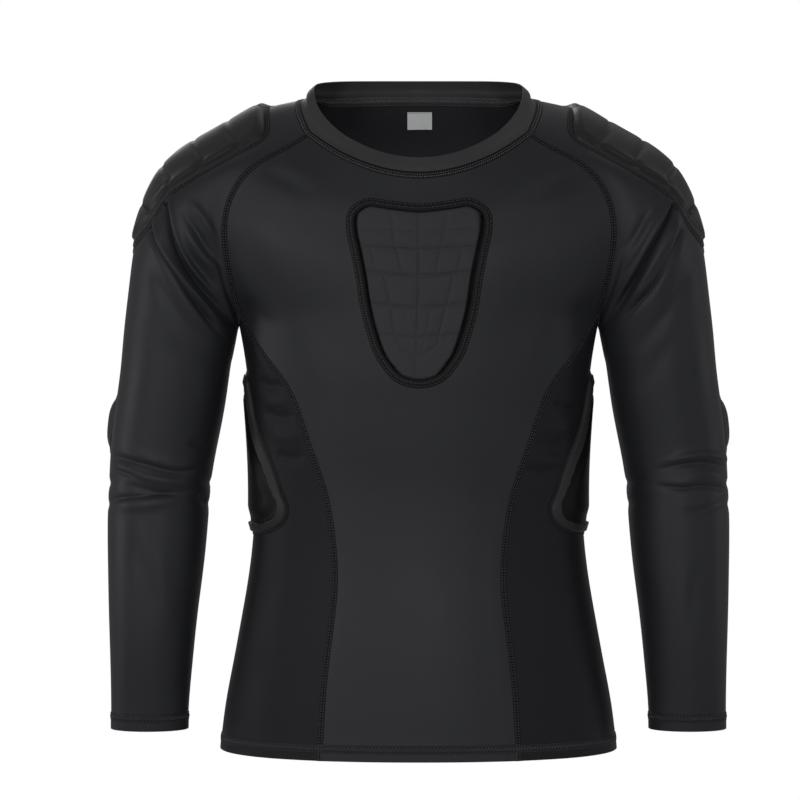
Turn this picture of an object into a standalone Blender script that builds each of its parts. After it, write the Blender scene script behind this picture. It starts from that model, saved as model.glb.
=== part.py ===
# Padded compression shirt, long raglan sleeves, worn shape with nobody in it.
#
# All sizes are in millimetres and are turned into metres when a mesh is made.
# +X is the wearer's left, the front faces -Y, +Z is up.  The origin is on the
# centre line, where the collar rests on the wearer.
#
# One outer surface is worked out first, as rows of four-sided facets: the
# trunk, the front and back yokes, two sleeves and the neckband.  Neighbouring
# pieces share the points of their seam.  Each piece of cloth is then made into
# a closed wall from its own facets, and the pads are made from points of the
# cloth they lie on, moved out.
import bpy
import math
from mathutils import Vector
from mathutils.bvhtree import BVHTree

# ---------------------------------------------------------------- sizes, mm
WALL = 1.5            # thickness of the cloth
SEAM = 0.3            # gap between two pieces at a seam
REST = 0.35           # gap between a pad and the cloth under it
ROUND = 2.2           # superellipse power of the trunk's sections

FRONT_COLS = 5        # facets from the centre line to the side seam
SIDE_COLS = 4         # facets from the side seam to the side line
YOKE_ROWS = 7         # facets along a raglan seam
NECK_COLS = 4         # facets of the sleeve's own edge at the neck

# Trunk, one row per section below the armpits.
# z, half_width, front depth, back depth, x of the side seam
TRUNK = [
    (-217.8, 148.2, 91.0, 83.5, 132.0),
    (-241.0, 145.1, 89.8, 82.8, 113.6),
    (-265.0, 142.8, 87.5, 81.5, 101.0),
    (-300.0, 140.4, 84.2, 79.1, 89.5),
    (-333.0, 139.3, 81.0, 76.8, 78.0),
    (-370.0, 140.1, 80.3, 76.3, 71.3),
    (-408.0, 144.2, 82.0, 78.0, 68.8),
    (-445.0, 150.5, 85.5, 81.0, 72.2),
    (-482.0, 157.3, 88.5, 84.5, 76.7),
    (-518.0, 163.9, 91.0, 87.0, 79.5),
    (-554.0, 168.1, 93.0, 89.0, 81.0),
]

ARMPIT = (152.5, 0.0, -195.0)

# Raglan seams, from the top of the side seam up to the neck.  x, y, z
RAGLAN_FRONT = [
    (150.0, -28.0, -188.0), (154.3, -45.0, -169.0), (158.4, -57.0, -146.0),
    (161.0, -63.0, -125.0), (159.0, -66.0, -108.0), (152.3, -66.0, -86.0),
    (131.0, -64.0, -61.5), (115.6, -60.0, -54.0), (91.3, -50.0, -37.0),
]
RAGLAN_BACK = [
    (151.0, 28.0, -188.0), (155.0, 52.0, -160.0), (157.0, 66.0, -125.0),
    (152.0, 72.0, -90.0), (135.0, 72.0, -55.0), (105.0, 66.0, -22.0),
    (78.0, 55.0, 2.0),
]
# The sleeve's edge at the neck, front corner to back corner.  x, y, z
NECK_ARC = [(91.3, -50.0, -37.0), (98.0, -28.0, -20.0), (100.5, -5.0, -7.0),
            (96.0, 20.0, -1.0), (88.0, 40.0, 1.0), (78.0, 55.0, 2.0)]

# Centre lines of the front and the back, armpit level up to the neck.  y, z
CENTRE_FRONT = [(-92.0, -195.0), (-93.5, -150.0), (-89.0, -110.0), (-80.0, -73.5)]
CENTRE_BACK = [(84.0, -195.0), (88.0, -150.0), (90.0, -100.0), (84.0, -50.0),
               (74.0, -10.0), (67.0, 5.0)]

# Upper edge of the neckband, centre front to centre back.  x, y, z
COLLAR = [(0.0, -73.5, -60.4), (31.7, -67.0, -54.4), (55.5, -55.0, -42.9),
          (70.8, -42.0, -31.0), (84.6, -20.0, -11.9), (88.8, 4.0, 6.0),
          (84.0, 28.0, 14.0), (68.0, 48.0, 18.0), (40.0, 58.0, 19.5),
          (0.0, 62.0, 20.0)]
COLLAR_BULGE = 0.8    # how far the band rounds out between its edges

# Sleeve, one row per ring, shoulder to cuff.
# outer x, outer z, inner x, inner z, half depth, centre y, share of the raglan loop's shape
SLEEVE = [
    (136.0, -13.5, 152.9, -197.0, 69.0, 3.0, 0.82),
    (176.0, -33.5, 153.4, -199.0, 67.0, 3.0, 0.60),
    (211.0, -57.0, 154.0, -202.0, 63.0, 2.0, 0.35),
    (231.0, -92.0, 154.7, -206.0, 58.0, 1.0, 0.15),
    (241.0, -128.0, 155.6, -211.0, 53.0, 0.0, 0.0),
    (246.0, -165.0, 156.8, -217.0, 49.0, 0.0, 0.0),
    (250.0, -200.0, 158.3, -224.0, 46.0, 0.0, 0.0),
    (253.0, -232.0, 160.0, -232.0, 45.0, 1.0, 0.0),
    (257.2, -262.0, 164.4, -262.0, 44.0, 3.0, 0.0),
    (261.2, -292.0, 170.2, -292.0, 43.0, 5.0, 0.0),
    (263.2, -325.0, 176.2, -325.0, 42.0, 6.0, 0.0),
    (264.4, -360.0, 179.0, -360.0, 40.5, 4.0, 0.0),
    (263.8, -400.0, 182.6, -400.0, 38.0, 1.0, 0.0),
    (262.7, -440.0, 187.5, -440.0, 35.0, -2.0, 0.0),
    (261.3, -480.0, 191.5, -480.0, 31.0, -4.0, 0.0),
    (260.5, -515.0, 194.5, -515.0, 26.5, -5.5, 0.0),
    (260.5, -537.5, 195.1, -537.5, 24.0, -6.0, 0.0),
]

# Window in the front panel, centre top round to centre bottom.  x, z
WINDOW = [(0.0, -105.2), (25.0, -102.6), (41.0, -100.6), (51.3, -106.3),
          (53.7, -113.6), (52.9, -124.2), (50.0, -137.2), (45.6, -160.0),
          (41.5, -186.0), (33.4, -214.5), (26.0, -228.3), (15.5, -239.7),
          (0.0, -243.8)]
WINDOW_POINTS = 36
WINDOW_MIDDLE = (0.0, -166.0)
PAD_CLEAR = 0.6       # chest pad inside the window
RIM_LAP = 0.5         # the rim laps this far over the window's edge
RIM_WIDE = 6.0
RIM_THICK = 1.3

# Rib pad outline round the side line: degrees round the section, z
RIB = [(0.0, -236.0), (8.0, -240.0), (11.5, -252.0), (17.0, -276.0),
       (29.0, -308.0), (36.0, -333.0), (40.0, -349.0), (37.0, -362.0),
       (24.0, -369.5), (0.0, -371.0)]
RIB_MIDDLE = -322.0
RIB_THICK = 6.5

# Elbow pad: middle height, angle of its middle behind the outer side, reach
ELBOW_Z = -280.0
ELBOW_TURN = 42.0
ELBOW_HALF_TALL = 36.0
ELBOW_HALF_WIDE = 48.0   # degrees round the sleeve
ELBOW_THICK = 6.5

# Shoulder pad, one row per station along the top of the sleeve.
# ring (0 = raglan loop, 1 = first row of SLEEVE), half span in sleeve columns
SHOULDER = [(0.86, 0.0), (0.9, 1.3), (1.2, 2.2), (2.0, 3.1), (3.0, 3.4),
            (4.0, 2.9), (4.75, 1.6), (5.08, 0.0)]
SHOULDER_MIDDLE = 3.0
SHOULDER_THICK = 5.0

PAD_AROUND = 24
# pad cross-section from the middle out: share of the outline, share of the thickness
PAD_STEPS = [(0.45, 1.0), (0.88, 0.9), (1.0, 0.22)]

# Label inside the back neck
LABEL_X = 1.6
LABEL_WIDE = 21.6
LABEL_TOP = -6.0
LABEL_TALL = 14.5
LABEL_THICK = 1.0


# ------------------------------------------------------------ small helpers
def V(*c):
    return Vector(c)


def along(ctrl, fractions, closed=False):
    """Points at the given shares of the length of a smooth curve through ctrl."""
    ctrl = [Vector(c) for c in ctrl]
    m = len(ctrl)
    dense = []
    for s in range(m if closed else m - 1):
        p1, p2 = ctrl[s], ctrl[(s + 1) % m]
        p0 = ctrl[s - 1] if (closed or s > 0) else p1 * 2 - p2
        p3 = ctrl[(s + 2) % m] if (closed or s + 2 < m) else p2 * 2 - p1
        for q in range(16):
            t = q / 16.0
            dense.append(0.5 * ((2 * p1) + (p2 - p0) * t
                                + (2 * p0 - 5 * p1 + 4 * p2 - p3) * t * t
                                + (3 * p1 - p0 - 3 * p2 + p3) * t * t * t))
    dense.append(ctrl[0] if closed else ctrl[-1])
    run = [0.0]
    for a, b in zip(dense, dense[1:]):
        run.append(run[-1] + (b - a).length)
    out = []
    i = 0
    for f in fractions:
        want = f * run[-1]
        while i < len(run) - 2 and run[i + 1] < want:
            i += 1
        span = run[i + 1] - run[i]
        t = 0.0 if span == 0 else min(1.0, max(0.0, (want - run[i]) / span))
        out.append(dense[i].lerp(dense[i + 1], t))
    return out


def even(n):
    return [i / n for i in range(n + 1)]


def table_at(rows, key):
    """A row of a table between its rows, by the first column (falling)."""
    key = min(rows[0][0], max(rows[-1][0], key))
    for a, b in zip(rows, rows[1:]):
        if a[0] >= key >= b[0]:
            t = (a[0] - key) / (a[0] - b[0])
            return [p + (q - p) * t for p, q in zip(a, b)]
    return list(rows[-1])


# -------------------------------------------------------- the outer surface
def trunk_row(row):
    """Half a section of the trunk, centre front round to centre back."""
    z, a, front, back, seam = row
    turn = math.acos((seam / a) ** (ROUND / 2))

    def at(t, depth):
        return (a * math.cos(t) ** (2 / ROUND), depth * math.sin(t) ** (2 / ROUND))

    pts = []
    for i in range(FRONT_COLS):
        x = seam * i / FRONT_COLS
        pts.append(V(x, -front * (1 - (x / a) ** ROUND) ** (1 / ROUND), z))
    for i in range(SIDE_COLS):
        x, y = at(turn * (1 - i / SIDE_COLS), front)
        pts.append(V(x, -y, z))
    for i in range(SIDE_COLS):
        x, y = at(turn * i / SIDE_COLS, back)
        pts.append(V(x, y, z))
    for i in range(FRONT_COLS + 1):
        x = seam * (1 - i / FRONT_COLS)
        pts.append(V(x, back * (1 - (x / a) ** ROUND) ** (1 / ROUND), z))
    return pts


def yoke_row(end, mid_y, mid_z):
    """From the centre line out to a point of the raglan seam."""
    reach = end.x / (1 - (end.y / mid_y) ** ROUND) ** (1 / ROUND)
    pts = []
    for i in range(FRONT_COLS + 1):
        x = end.x * i / FRONT_COLS
        pts.append(V(x, mid_y * (1 - (x / reach) ** ROUND) ** (1 / ROUND),
                     mid_z + (end.z - mid_z) * (x / end.x) ** 2))
    pts[-1] = end.copy()
    return pts


def side_top(corner):
    """Top edge of the side panel, armpit to the top of a side seam."""
    pit = Vector(ARMPIT)
    pts = []
    for i in range(SIDE_COLS + 1):
        u = i / SIDE_COLS
        pts.append(V(pit.x + (corner.x - pit.x) * u * u, corner.y * u,
                     pit.z + (corner.z - pit.z) * u * u))
    return pts


def centre(profile, z):
    """y of a centre line at height z."""
    for a, b in zip(profile, profile[1:]):
        if a[1] <= z <= b[1] + 1e-6:
            t = (z - a[1]) / (b[1] - a[1])
            t = t * t * (3 - 2 * t) * 0.3 + t * 0.7
            return a[0] + (b[0] - a[0]) * t
    return profile[-1][0]


def sleeve_ring(row, loop):
    """One ring of the sleeve, from the armpit line forwards and over the top."""
    tx, tz, bx, bz, depth, cy, share = row
    n = len(loop)
    top, low = V(tx, 0, tz), V(bx, 0, bz)
    mid, half = (top + low) / 2, (top - low) / 2
    loop_top, loop_low = loop[n // 2], loop[0]
    up = V(top.x - loop_top.x, 0, top.z - loop_top.z)
    down = V(low.x - loop_low.x, 0, low.z - loop_low.z)
    pts = []
    for j in range(n):
        a = 2 * math.pi * j / n
        round_ = mid - half * math.cos(a) + V(0, cy - depth * math.sin(a), 0)
        k = (1 - math.cos(a)) / 2
        like_loop = loop[j] + down * (1 - k) + up * k
        pts.append(round_ * (1 - share) + like_loop * share)
    return pts


class Surface:
    """Shared points and facets, each facet with the name of its piece."""

    def __init__(self):
        self.points, self.index, self.faces = [], {}, []

    def point(self, p):
        key = (round(p.x, 3), round(p.y, 3), round(p.z, 3))
        if key not in self.index:
            self.index[key] = len(self.points)
            self.points.append(Vector(p))
        return self.index[key]

    def grid(self, rows, piece, turned, ring=False):
        """Facets between rows; piece gives the name for a column."""
        for a, b in zip(rows, rows[1:]):
            n = len(a)
            for c in range(n if ring else n - 1):
                d = (c + 1) % n
                for side in (1, -1):
                    quad = [a[c], a[d], b[d], b[c]]
                    if side < 0:
                        quad = [V(-p.x, p.y, p.z) for p in quad]
                    ids = [self.point(p) for p in quad]
                    if turned == (side > 0):
                        ids.reverse()
                    self.faces.append((ids, piece(c, side)))

    def finish(self):
        """Facets as triangles and one normal for each point."""
        self.tris = []
        self.normals = [Vector() for _ in self.points]
        for ids, name in self.faces:
            a, b, c, d = ids
            p = self.points
            if (p[a] - p[c]).length <= (p[b] - p[d]).length:
                pair = ((a, b, c), (a, c, d))
            else:
                pair = ((b, c, d), (b, d, a))
            for tri in pair:
                n = (p[tri[1]] - p[tri[0]]).cross(p[tri[2]] - p[tri[0]])
                for v in tri:
                    self.normals[v] += n
                self.tris.append((tri, name))
        for n in self.normals:
            n.normalize()


def build_surface():
    s = Surface()
    front = along(RAGLAN_FRONT, even(YOKE_ROWS))
    back = along(RAGLAN_BACK, even(YOKE_ROWS))
    arc = along(NECK_ARC, even(NECK_COLS))
    arc[0], arc[-1] = front[-1], back[-1]

    lo, hi = CENTRE_FRONT[0][1], CENTRE_FRONT[-1][1]
    yoke_front = []
    for k, end in enumerate(front):
        z = lo + (hi - lo) * k / YOKE_ROWS
        yoke_front.append(yoke_row(end, centre(CENTRE_FRONT, z), z))
    lo, hi = CENTRE_BACK[0][1], CENTRE_BACK[-1][1]
    yoke_back = []
    for k, end in enumerate(back):
        z = lo + (hi - lo) * k / YOKE_ROWS
        yoke_back.append(yoke_row(end, centre(CENTRE_BACK, z), z))

    side_front, side_back = side_top(front[0]), side_top(back[0])
    first = (yoke_front[0][:-1] + side_front[::-1][:-1] + side_back[:-1]
             + yoke_back[0][::-1])
    trunk = [first] + [trunk_row(r) for r in TRUNK]

    def trunk_piece(c, side):
        if c < FRONT_COLS:
            return "front_panel"
        if c < FRONT_COLS + 2 * SIDE_COLS:
            return "side_panel_left" if side > 0 else "side_panel_right"
        return "back_panel"

    s.grid(trunk, trunk_piece, True)
    s.grid(yoke_front, lambda c, side: "front_panel", False)
    s.grid(yoke_back, lambda c, side: "back_panel", True)

    loop = (side_front + front[1:] + arc[1:] + back[::-1][1:]
            + side_back[::-1][1:-1])
    rings = [loop] + [sleeve_ring(r, loop) for r in SLEEVE]
    s.grid(rings, lambda c, side: "sleeve_left" if side > 0 else "sleeve_right",
           True, ring=True)

    low = yoke_front[-1] + arc[1:] + yoke_back[-1][::-1][1:]
    run = [0.0]
    for a, b in zip(low, low[1:]):
        run.append(run[-1] + (b - a).length)
    high = along(COLLAR, [r / run[-1] for r in run])
    high[0].x = high[-1].x = 0.0
    between = []
    for a, b in zip(low, high):
        out = V(a.x, a.y, 0).normalized() * COLLAR_BULGE
        if abs(a.x) < 1e-6:
            out.x = 0.0
        between.append((a + b) / 2 + out)
    s.grid([low, between, high], lambda c, side: "neckband", False)
    s.finish()
    return s, rings


# ------------------------------------------------------------ making meshes
def colour_material(name, colour, rough, metal=0.0):
    m = bpy.data.materials.new(name)
    m.use_nodes = True
    b = m.node_tree.nodes["Principled BSDF"]
    b.inputs["Base Color"].default_value = (*colour, 1.0)
    b.inputs["Roughness"].default_value = rough
    b.inputs["Metallic"].default_value = metal
    m.diffuse_color = (*colour, 1.0)
    return m


def volume(points, faces):
    """Signed volume of a closed mesh: negative when its faces point in."""
    total = 0.0
    for f in faces:
        for b, c in zip(f[1:], f[2:]):
            total += points[f[0]].dot(points[b].cross(points[c]))
    return total / 6


def make(name, points, faces, colour, rough):
    if volume(points, faces) < 0:
        faces = [tuple(reversed(f)) for f in faces]
    mesh = bpy.data.meshes.new(name)
    mesh.from_pydata([tuple(p * 0.001) for p in points], [], faces)
    mesh.update()
    ob = bpy.data.objects.new(name, mesh)
    bpy.context.scene.collection.objects.link(ob)
    mesh.materials.append(colour_material(name, colour, rough))
    mesh.shade_smooth()
    mesh.set_sharp_from_angle(angle=math.radians(50))
    return ob


def wall(s, name, colour, rough):
    """A piece of cloth: its facets, the same moved in, and its cut edges."""
    quads = [ids for ids, piece in s.faces if piece == name]
    tris = [t for t, piece in s.tris if piece == name]
    uses = {}
    for ids in quads:
        for a, b in zip(ids, ids[1:] + ids[:1]):
            uses.setdefault(frozenset((a, b)), []).append((a, b, ids))
    rim = [u[0] for u in uses.values() if len(u) == 1]
    pull = {}
    for a, b, ids in rim:
        mid = sum((s.points[i] for i in ids), Vector()) / 4
        edge = (s.points[b] - s.points[a]).normalized()
        way = mid - s.points[a]
        way -= edge * way.dot(edge)
        way.normalize()
        for v in (a, b):
            pull.setdefault(v, []).append(way)
    used = sorted({v for ids in quads for v in ids})
    place = {}
    outer, inner = [], []
    for n, v in enumerate(used):
        p = s.points[v].copy()
        if v in pull:
            way = sum(pull[v], Vector())
            way.normalize()
            way *= SEAM / 2 / max(0.5, way.dot(pull[v][0]))
            if abs(p.x) < 1e-6:
                way.x = 0.0
            p += way
        place[v] = n
        outer.append(p)
        inner.append(p - s.normals[v] * WALL)
    count = len(used)
    faces = [tuple(place[v] for v in t) for t in tris]
    faces += [tuple(place[v] + count for v in reversed(t)) for t in tris]
    for a, b, _ in rim:
        i, j = place[a], place[b]
        if (outer[i] - inner[j]).length <= (outer[j] - inner[i]).length:
            faces += [(j, i, i + count), (j, i + count, j + count)]
        else:
            faces += [(j, i, j + count), (i, i + count, j + count)]
    return make(name, outer + inner, faces, colour, rough)


class Cloth:
    """The outer surface of some pieces, to place things on."""

    def __init__(self, s, pieces):
        self.s = s
        self.tris = [t for t, piece in s.tris if piece in pieces]
        self.tree = BVHTree.FromPolygons(s.points, self.tris, all_triangles=True)

    def _smooth(self, p, i):
        a, b, c = self.tris[i]
        pa, pb, pc = (self.s.points[v] for v in (a, b, c))
        full = (pb - pa).cross(pc - pa)
        area = full.length_squared
        wa = (pc - pb).cross(p - pb).dot(full) / area
        wb = (pa - pc).cross(p - pc).dot(full) / area
        n = (self.s.normals[a] * wa + self.s.normals[b] * wb
             + self.s.normals[c] * (1 - wa - wb))
        return n.normalized()

    def near(self, p):
        q, _, i, _ = self.tree.find_nearest(p)
        return q, self._smooth(q, i)

    def ahead(self, p, way):
        q, _, i, _ = self.tree.ray_cast(p, way)
        return q, self._smooth(q, i)

    def gap(self, p, n):
        """How far a point is outside the cloth, back along n."""
        q, _, i, dist = self.tree.ray_cast(p + n * 12.0, -n, 40.0)
        return 99.0 if q is None else dist - 12.0


def settle(cloth, bases, norms, tris):
    """Lift of each point that keeps a pad's underside clear of the cloth."""
    lift = [REST] * len(bases)
    shares = [(1 / 3, 1 / 3), (0.5, 0.5), (0.5, 0.0), (0.0, 0.5),
              (0.6, 0.2), (0.2, 0.6), (0.2, 0.2), (0.8, 0.1), (0.1, 0.8), (0.1, 0.1)]
    for _ in range(8):
        worst = 0.0
        for tri in tris:
            p = [bases[v] + norms[v] * lift[v] for v in tri]
            for a, b in shares:
                q = p[0] * a + p[1] * b + p[2] * (1 - a - b)
                n = (norms[tri[0]] * a + norms[tri[1]] * b
                     + norms[tri[2]] * (1 - a - b)).normalized()
                short = REST - cloth.gap(q, n)
                if short > 0.005:
                    worst = max(worst, short)
                    for v in tri:
                        lift[v] += short * 0.6
                    p = [bases[v] + norms[v] * lift[v] for v in tri]
        if worst < 0.02:
            break
    return lift


def pad(name, cloth, shape, thick, colour, rough, mirrored):
    """A closed pad: shape(share, turn) gives places on the cloth."""
    base, norm = [], []
    p, n = shape(0.0, 0.0)
    base.append(p)
    norm.append(n)
    for share, _ in PAD_STEPS:
        for k in range(PAD_AROUND):
            p, n = shape(share, k / PAD_AROUND)
            base.append(p)
            norm.append(n)
    heights = [1.0] + [h for _, h in PAD_STEPS for _ in range(PAD_AROUND)]
    tris = []
    for k in range(PAD_AROUND):
        m = (k + 1) % PAD_AROUND
        tris.append((0, 1 + k, 1 + m))
        for r in range(len(PAD_STEPS) - 1):
            a, b = 1 + r * PAD_AROUND, 1 + (r + 1) * PAD_AROUND
            tris += [(a + k, b + k, b + m), (a + k, b + m, a + m)]
    p = base
    t = tris[0]
    if (p[t[1]] - p[t[0]]).cross(p[t[2]] - p[t[0]]).dot(norm[0]) < 0:
        tris = [t[::-1] for t in tris]
    lift = settle(cloth, base, norm, tris)
    low = [b + n * l for b, n, l in zip(base, norm, lift)]
    high = [b + n * (l + thick * h) for b, n, l, h in zip(base, norm, lift, heights)]
    count = len(base)
    faces = list(tris) + [tuple(v + count for v in reversed(t)) for t in tris]
    uses = {}
    for t in tris:
        for a, b in zip(t, t[1:] + t[:1]):
            uses[(a, b)] = 1
    for a, b in list(uses):
        if (b, a) not in uses:
            faces += [(b, a, a + count), (b, a + count, b + count)]
    points = high + low
    if mirrored:
        points = [V(-q.x, q.y, q.z) for q in points]
        faces = [f[::-1] for f in faces]
    return make(name, points, faces, colour, rough)


# --------------------------------------------------------- outlines of pads
def both_sides(half):
    """A closed outline from one half, first and last points on the middle."""
    return [V(a, b, 0) for a, b in half] + [V(-a, b, 0) for a, b in half[-2:0:-1]]


def outline(half, n):
    return along(both_sides(half), [k / n for k in range(n)], closed=True)


def moved_outline(pts, by):
    """An outline in x and z moved out by a distance."""
    out = []
    n = len(pts)
    for i, p in enumerate(pts):
        way = pts[(i + 1) % n] - pts[i - 1]
        out.append(p + V(-way.y, way.x, 0).normalized() * by)
    return out


def main():
    for ob in list(bpy.data.objects):
        bpy.data.objects.remove(ob, do_unlink=True)

    cloth_black = (0.030, 0.031, 0.034)
    s, rings = build_surface()

    front = wall(s, "front_panel", cloth_black, 0.55)
    wall(s, "back_panel", cloth_black, 0.55)
    for side in ("left", "right"):
        wall(s, "side_panel_" + side, cloth_black, 0.5)
        wall(s, "sleeve_" + side, cloth_black, 0.5)
    wall(s, "neckband", cloth_black, 0.6)

    # ---- window, chest pad and rim
    chest = Cloth(s, {"front_panel"})

    def on_chest(x, z):
        return chest.ahead(V(x, -200.0, z), V(0, 1, 0))

    edge = outline(WINDOW, WINDOW_POINTS)
    if sum(a.x * b.y - b.x * a.y for a, b in zip(edge, edge[1:] + edge[:1])) > 0:
        edge.reverse()
    n = len(edge)
    cut = [V(p.x, y, p.y) for y in (-125.0, -60.0) for p in edge]
    faces = [tuple(range(n))[::-1], tuple(range(n, 2 * n))]
    faces += [(k, (k + 1) % n, n + (k + 1) % n, n + k) for k in range(n)]
    cutter = make("window_cutter", cut, [f[::-1] for f in faces], cloth_black, 0.5)
    cutter.hide_render = True
    cutter.display_type = "WIRE"
    window = front.modifiers.new("window", "BOOLEAN")
    window.operation = "DIFFERENCE"
    window.solver = "EXACT"
    window.object = cutter

    inside = moved_outline(edge, -PAD_CLEAR)
    steps = [(0.0, 0.6, 7.0), (0.35, 0.6, 7.0), (0.7, 0.4, 7.0), (0.88, -0.6, 7.0), (1.0, -2.6, 6.4)]
    points, faces = [], []
    for share, rise, deep in steps:
        for k in range(1 if share == 0 else n):
            x = WINDOW_MIDDLE[0] + (inside[k].x - WINDOW_MIDDLE[0]) * share
            z = WINDOW_MIDDLE[1] + (inside[k].y - WINDOW_MIDDLE[1]) * share
            q, _ = on_chest(x, z)
            points.append((V(x, q.y - rise, z), V(x, q.y + deep, z)))
    count = len(points)
    tris = []
    for k in range(n):
        m = (k + 1) % n
        tris.append((0, 1 + k, 1 + m))
        for r in range(len(steps) - 2):
            a, b = 1 + r * n, 1 + (r + 1) * n
            tris += [(a + k, b + k, b + m), (a + k, b + m, a + m)]
    lead = points[1][0] - points[0][0]
    if lead.cross(points[2][0] - points[0][0]).y > 0:
        tris = [t[::-1] for t in tris]
    faces = list(tris) + [tuple(v + count for v in reversed(t)) for t in tris]
    ways = {(a, b) for t in tris for a, b in zip(t, t[1:] + t[:1])}
    for a, b in sorted(ways):
        if (b, a) not in ways:
            faces += [(b, a, a + count), (b, a + count, b + count)]
    make("chest_pad", [p[0] for p in points] + [p[1] for p in points], faces,
         (0.036, 0.037, 0.040), 0.45)

    across = [(-RIM_LAP, 0.0), (-RIM_LAP, 1.0), (RIM_WIDE * 0.5, 1.25),
              (RIM_WIDE, 0.8), (RIM_WIDE, 0.0), (RIM_WIDE * 0.5, 0.0)]
    band = [moved_outline(edge, off) for off, _ in across]
    points, faces = [], []
    for line, (off, high) in zip(band, across):
        for p in line:
            q, nrm = on_chest(p.x, p.y)
            points.append(q + nrm * (REST + 0.45 + high * RIM_THICK))
    m = len(across)
    for a in range(m):
        b = (a + 1) % m
        for k in range(n):
            j = (k + 1) % n
            faces += [(a * n + k, a * n + j, b * n + j), (a * n + k, b * n + j, b * n + k)]
    make("chest_pad_rim", points, faces, cloth_black, 0.55)

    # ---- rib pads
    trunk = Cloth(s, {"side_panel_left", "front_panel", "back_panel"})
    rib_edge = outline(RIB, PAD_AROUND)

    def rib(share, turn):
        e = rib_edge[round(turn * PAD_AROUND) % PAD_AROUND]
        t = math.radians(e.x * share)
        z = RIB_MIDDLE + (e.y - RIB_MIDDLE) * share
        _, a, fr, bk, _ = table_at(TRUNK, z)
        x = a * math.cos(t) ** (2 / ROUND)
        y = abs(math.sin(t)) ** (2 / ROUND) * (-fr if t > 0 else bk)
        return trunk.near(V(x, y, z))

    # ---- elbow pads
    arm = Cloth(s, {"sleeve_left"})

    def elbow(share, turn):
        a = 2 * math.pi * turn
        c, d = math.cos(a), math.sin(a)
        c = math.copysign(abs(c) ** 0.85, c)
        d = math.copysign(abs(d) ** 0.85, d)
        z = ELBOW_Z + ELBOW_HALF_TALL * share * d
        rows = [(r[1], r[0], r[2], r[4], r[5]) for r in SLEEVE[7:]]
        _, out, inn, depth, cy = table_at(rows, z)
        g = math.radians(ELBOW_TURN + ELBOW_HALF_WIDE * share * c)
        return arm.near(V((out + inn) / 2 + (out - inn) / 2 * math.cos(g),
                          cy + depth * math.sin(g), z))

    # ---- shoulder pads
    half = [V(span, ring, 0) for ring, span in SHOULDER]
    ring_outline = along(half + [V(-p.x, p.y, 0) for p in half[-2:0:-1]],
                         [k / PAD_AROUND for k in range(PAD_AROUND)], closed=True)

    def on_sleeve(ring, column):
        n = len(rings[0])
        r = min(len(rings) - 2, int(ring))
        c = int(math.floor(column))
        u, w = ring - r, column - c
        a, b = rings[r], rings[r + 1]
        return ((a[c % n] * (1 - w) + a[(c + 1) % n] * w) * (1 - u)
                + (b[c % n] * (1 - w) + b[(c + 1) % n] * w) * u)

    def shoulder(share, turn):
        e = ring_outline[round(turn * PAD_AROUND) % PAD_AROUND]
        ring = SHOULDER_MIDDLE + (e.y - SHOULDER_MIDDLE) * share
        return arm.near(on_sleeve(ring, len(rings[0]) / 2 - e.x * share))

    pad_black = (0.034, 0.035, 0.038)
    for side, mirrored in (("left", False), ("right", True)):
        pad("rib_pad_" + side, trunk, rib, RIB_THICK, pad_black, 0.4, mirrored)
        pad("elbow_pad_" + side, arm, elbow, ELBOW_THICK, pad_black, 0.45, mirrored)
        pad("shoulder_pad_" + side, arm, shoulder, SHOULDER_THICK, pad_black, 0.45, mirrored)

    # ---- label inside the back neck
    back = Cloth(s, {"back_panel"})
    cols, rows = 3, 2
    near, far = [], []
    for r in range(rows + 1):
        for c in range(cols + 1):
            x = LABEL_X - LABEL_WIDE / 2 + LABEL_WIDE * c / cols
            z = LABEL_TOP - LABEL_TALL * r / rows
            q, nrm = back.ahead(V(x, 300.0, z), V(0, -1, 0))
            near.append(q - nrm * (WALL + REST + 0.5 + LABEL_THICK))
            far.append(q - nrm * (WALL + REST + 0.5))
    count = len(near)
    tris = []
    for r in range(rows):
        for c in range(cols):
            a = r * (cols + 1) + c
            b = a + cols + 1
            tris += [(a, b, b + 1), (a, b + 1, a + 1)]
    faces = list(tris) + [tuple(v + count for v in reversed(t)) for t in tris]
    ways = {(a, b) for t in tris for a, b in zip(t, t[1:] + t[:1])}
    for a, b in sorted(ways):
        if (b, a) not in ways:
            faces += [(b, a, a + count), (b, a + count, b + count)]
    make("size_label", near + far, faces, (0.62, 0.63, 0.64), 0.35)


main()
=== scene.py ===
# The look of the padded compression shirt: shells of knit cloth with their
# folds, seams and stitches, the pads, the label, a pale studio and a camera.
#
# Sizes below are in millimetres unless they say otherwise; every mesh is made
# in metres.  +X is the wearer's left, the front faces -Y, +Z is up.
import bpy
import math
import numpy as np
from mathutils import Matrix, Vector
from mathutils.bvhtree import BVHTree


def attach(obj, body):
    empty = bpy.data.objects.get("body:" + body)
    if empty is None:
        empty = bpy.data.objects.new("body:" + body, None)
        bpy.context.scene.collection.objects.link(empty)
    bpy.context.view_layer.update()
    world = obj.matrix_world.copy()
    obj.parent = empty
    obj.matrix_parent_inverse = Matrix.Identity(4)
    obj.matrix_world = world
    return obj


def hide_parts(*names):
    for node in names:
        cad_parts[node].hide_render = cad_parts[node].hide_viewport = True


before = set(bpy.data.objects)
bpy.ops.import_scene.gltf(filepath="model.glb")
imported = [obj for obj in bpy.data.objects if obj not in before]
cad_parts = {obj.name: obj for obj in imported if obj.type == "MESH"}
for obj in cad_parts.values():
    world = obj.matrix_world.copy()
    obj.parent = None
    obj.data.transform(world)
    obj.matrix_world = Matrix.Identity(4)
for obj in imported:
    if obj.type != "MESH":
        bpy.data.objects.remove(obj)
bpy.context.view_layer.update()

# ---------------------------------------------------------------- sizes, mm
WALL = 1.5            # thickness of the cloth
SEAM = 0.3            # gap between two pieces at a seam
REST = 0.35           # gap between a pad and the cloth under it
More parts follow.
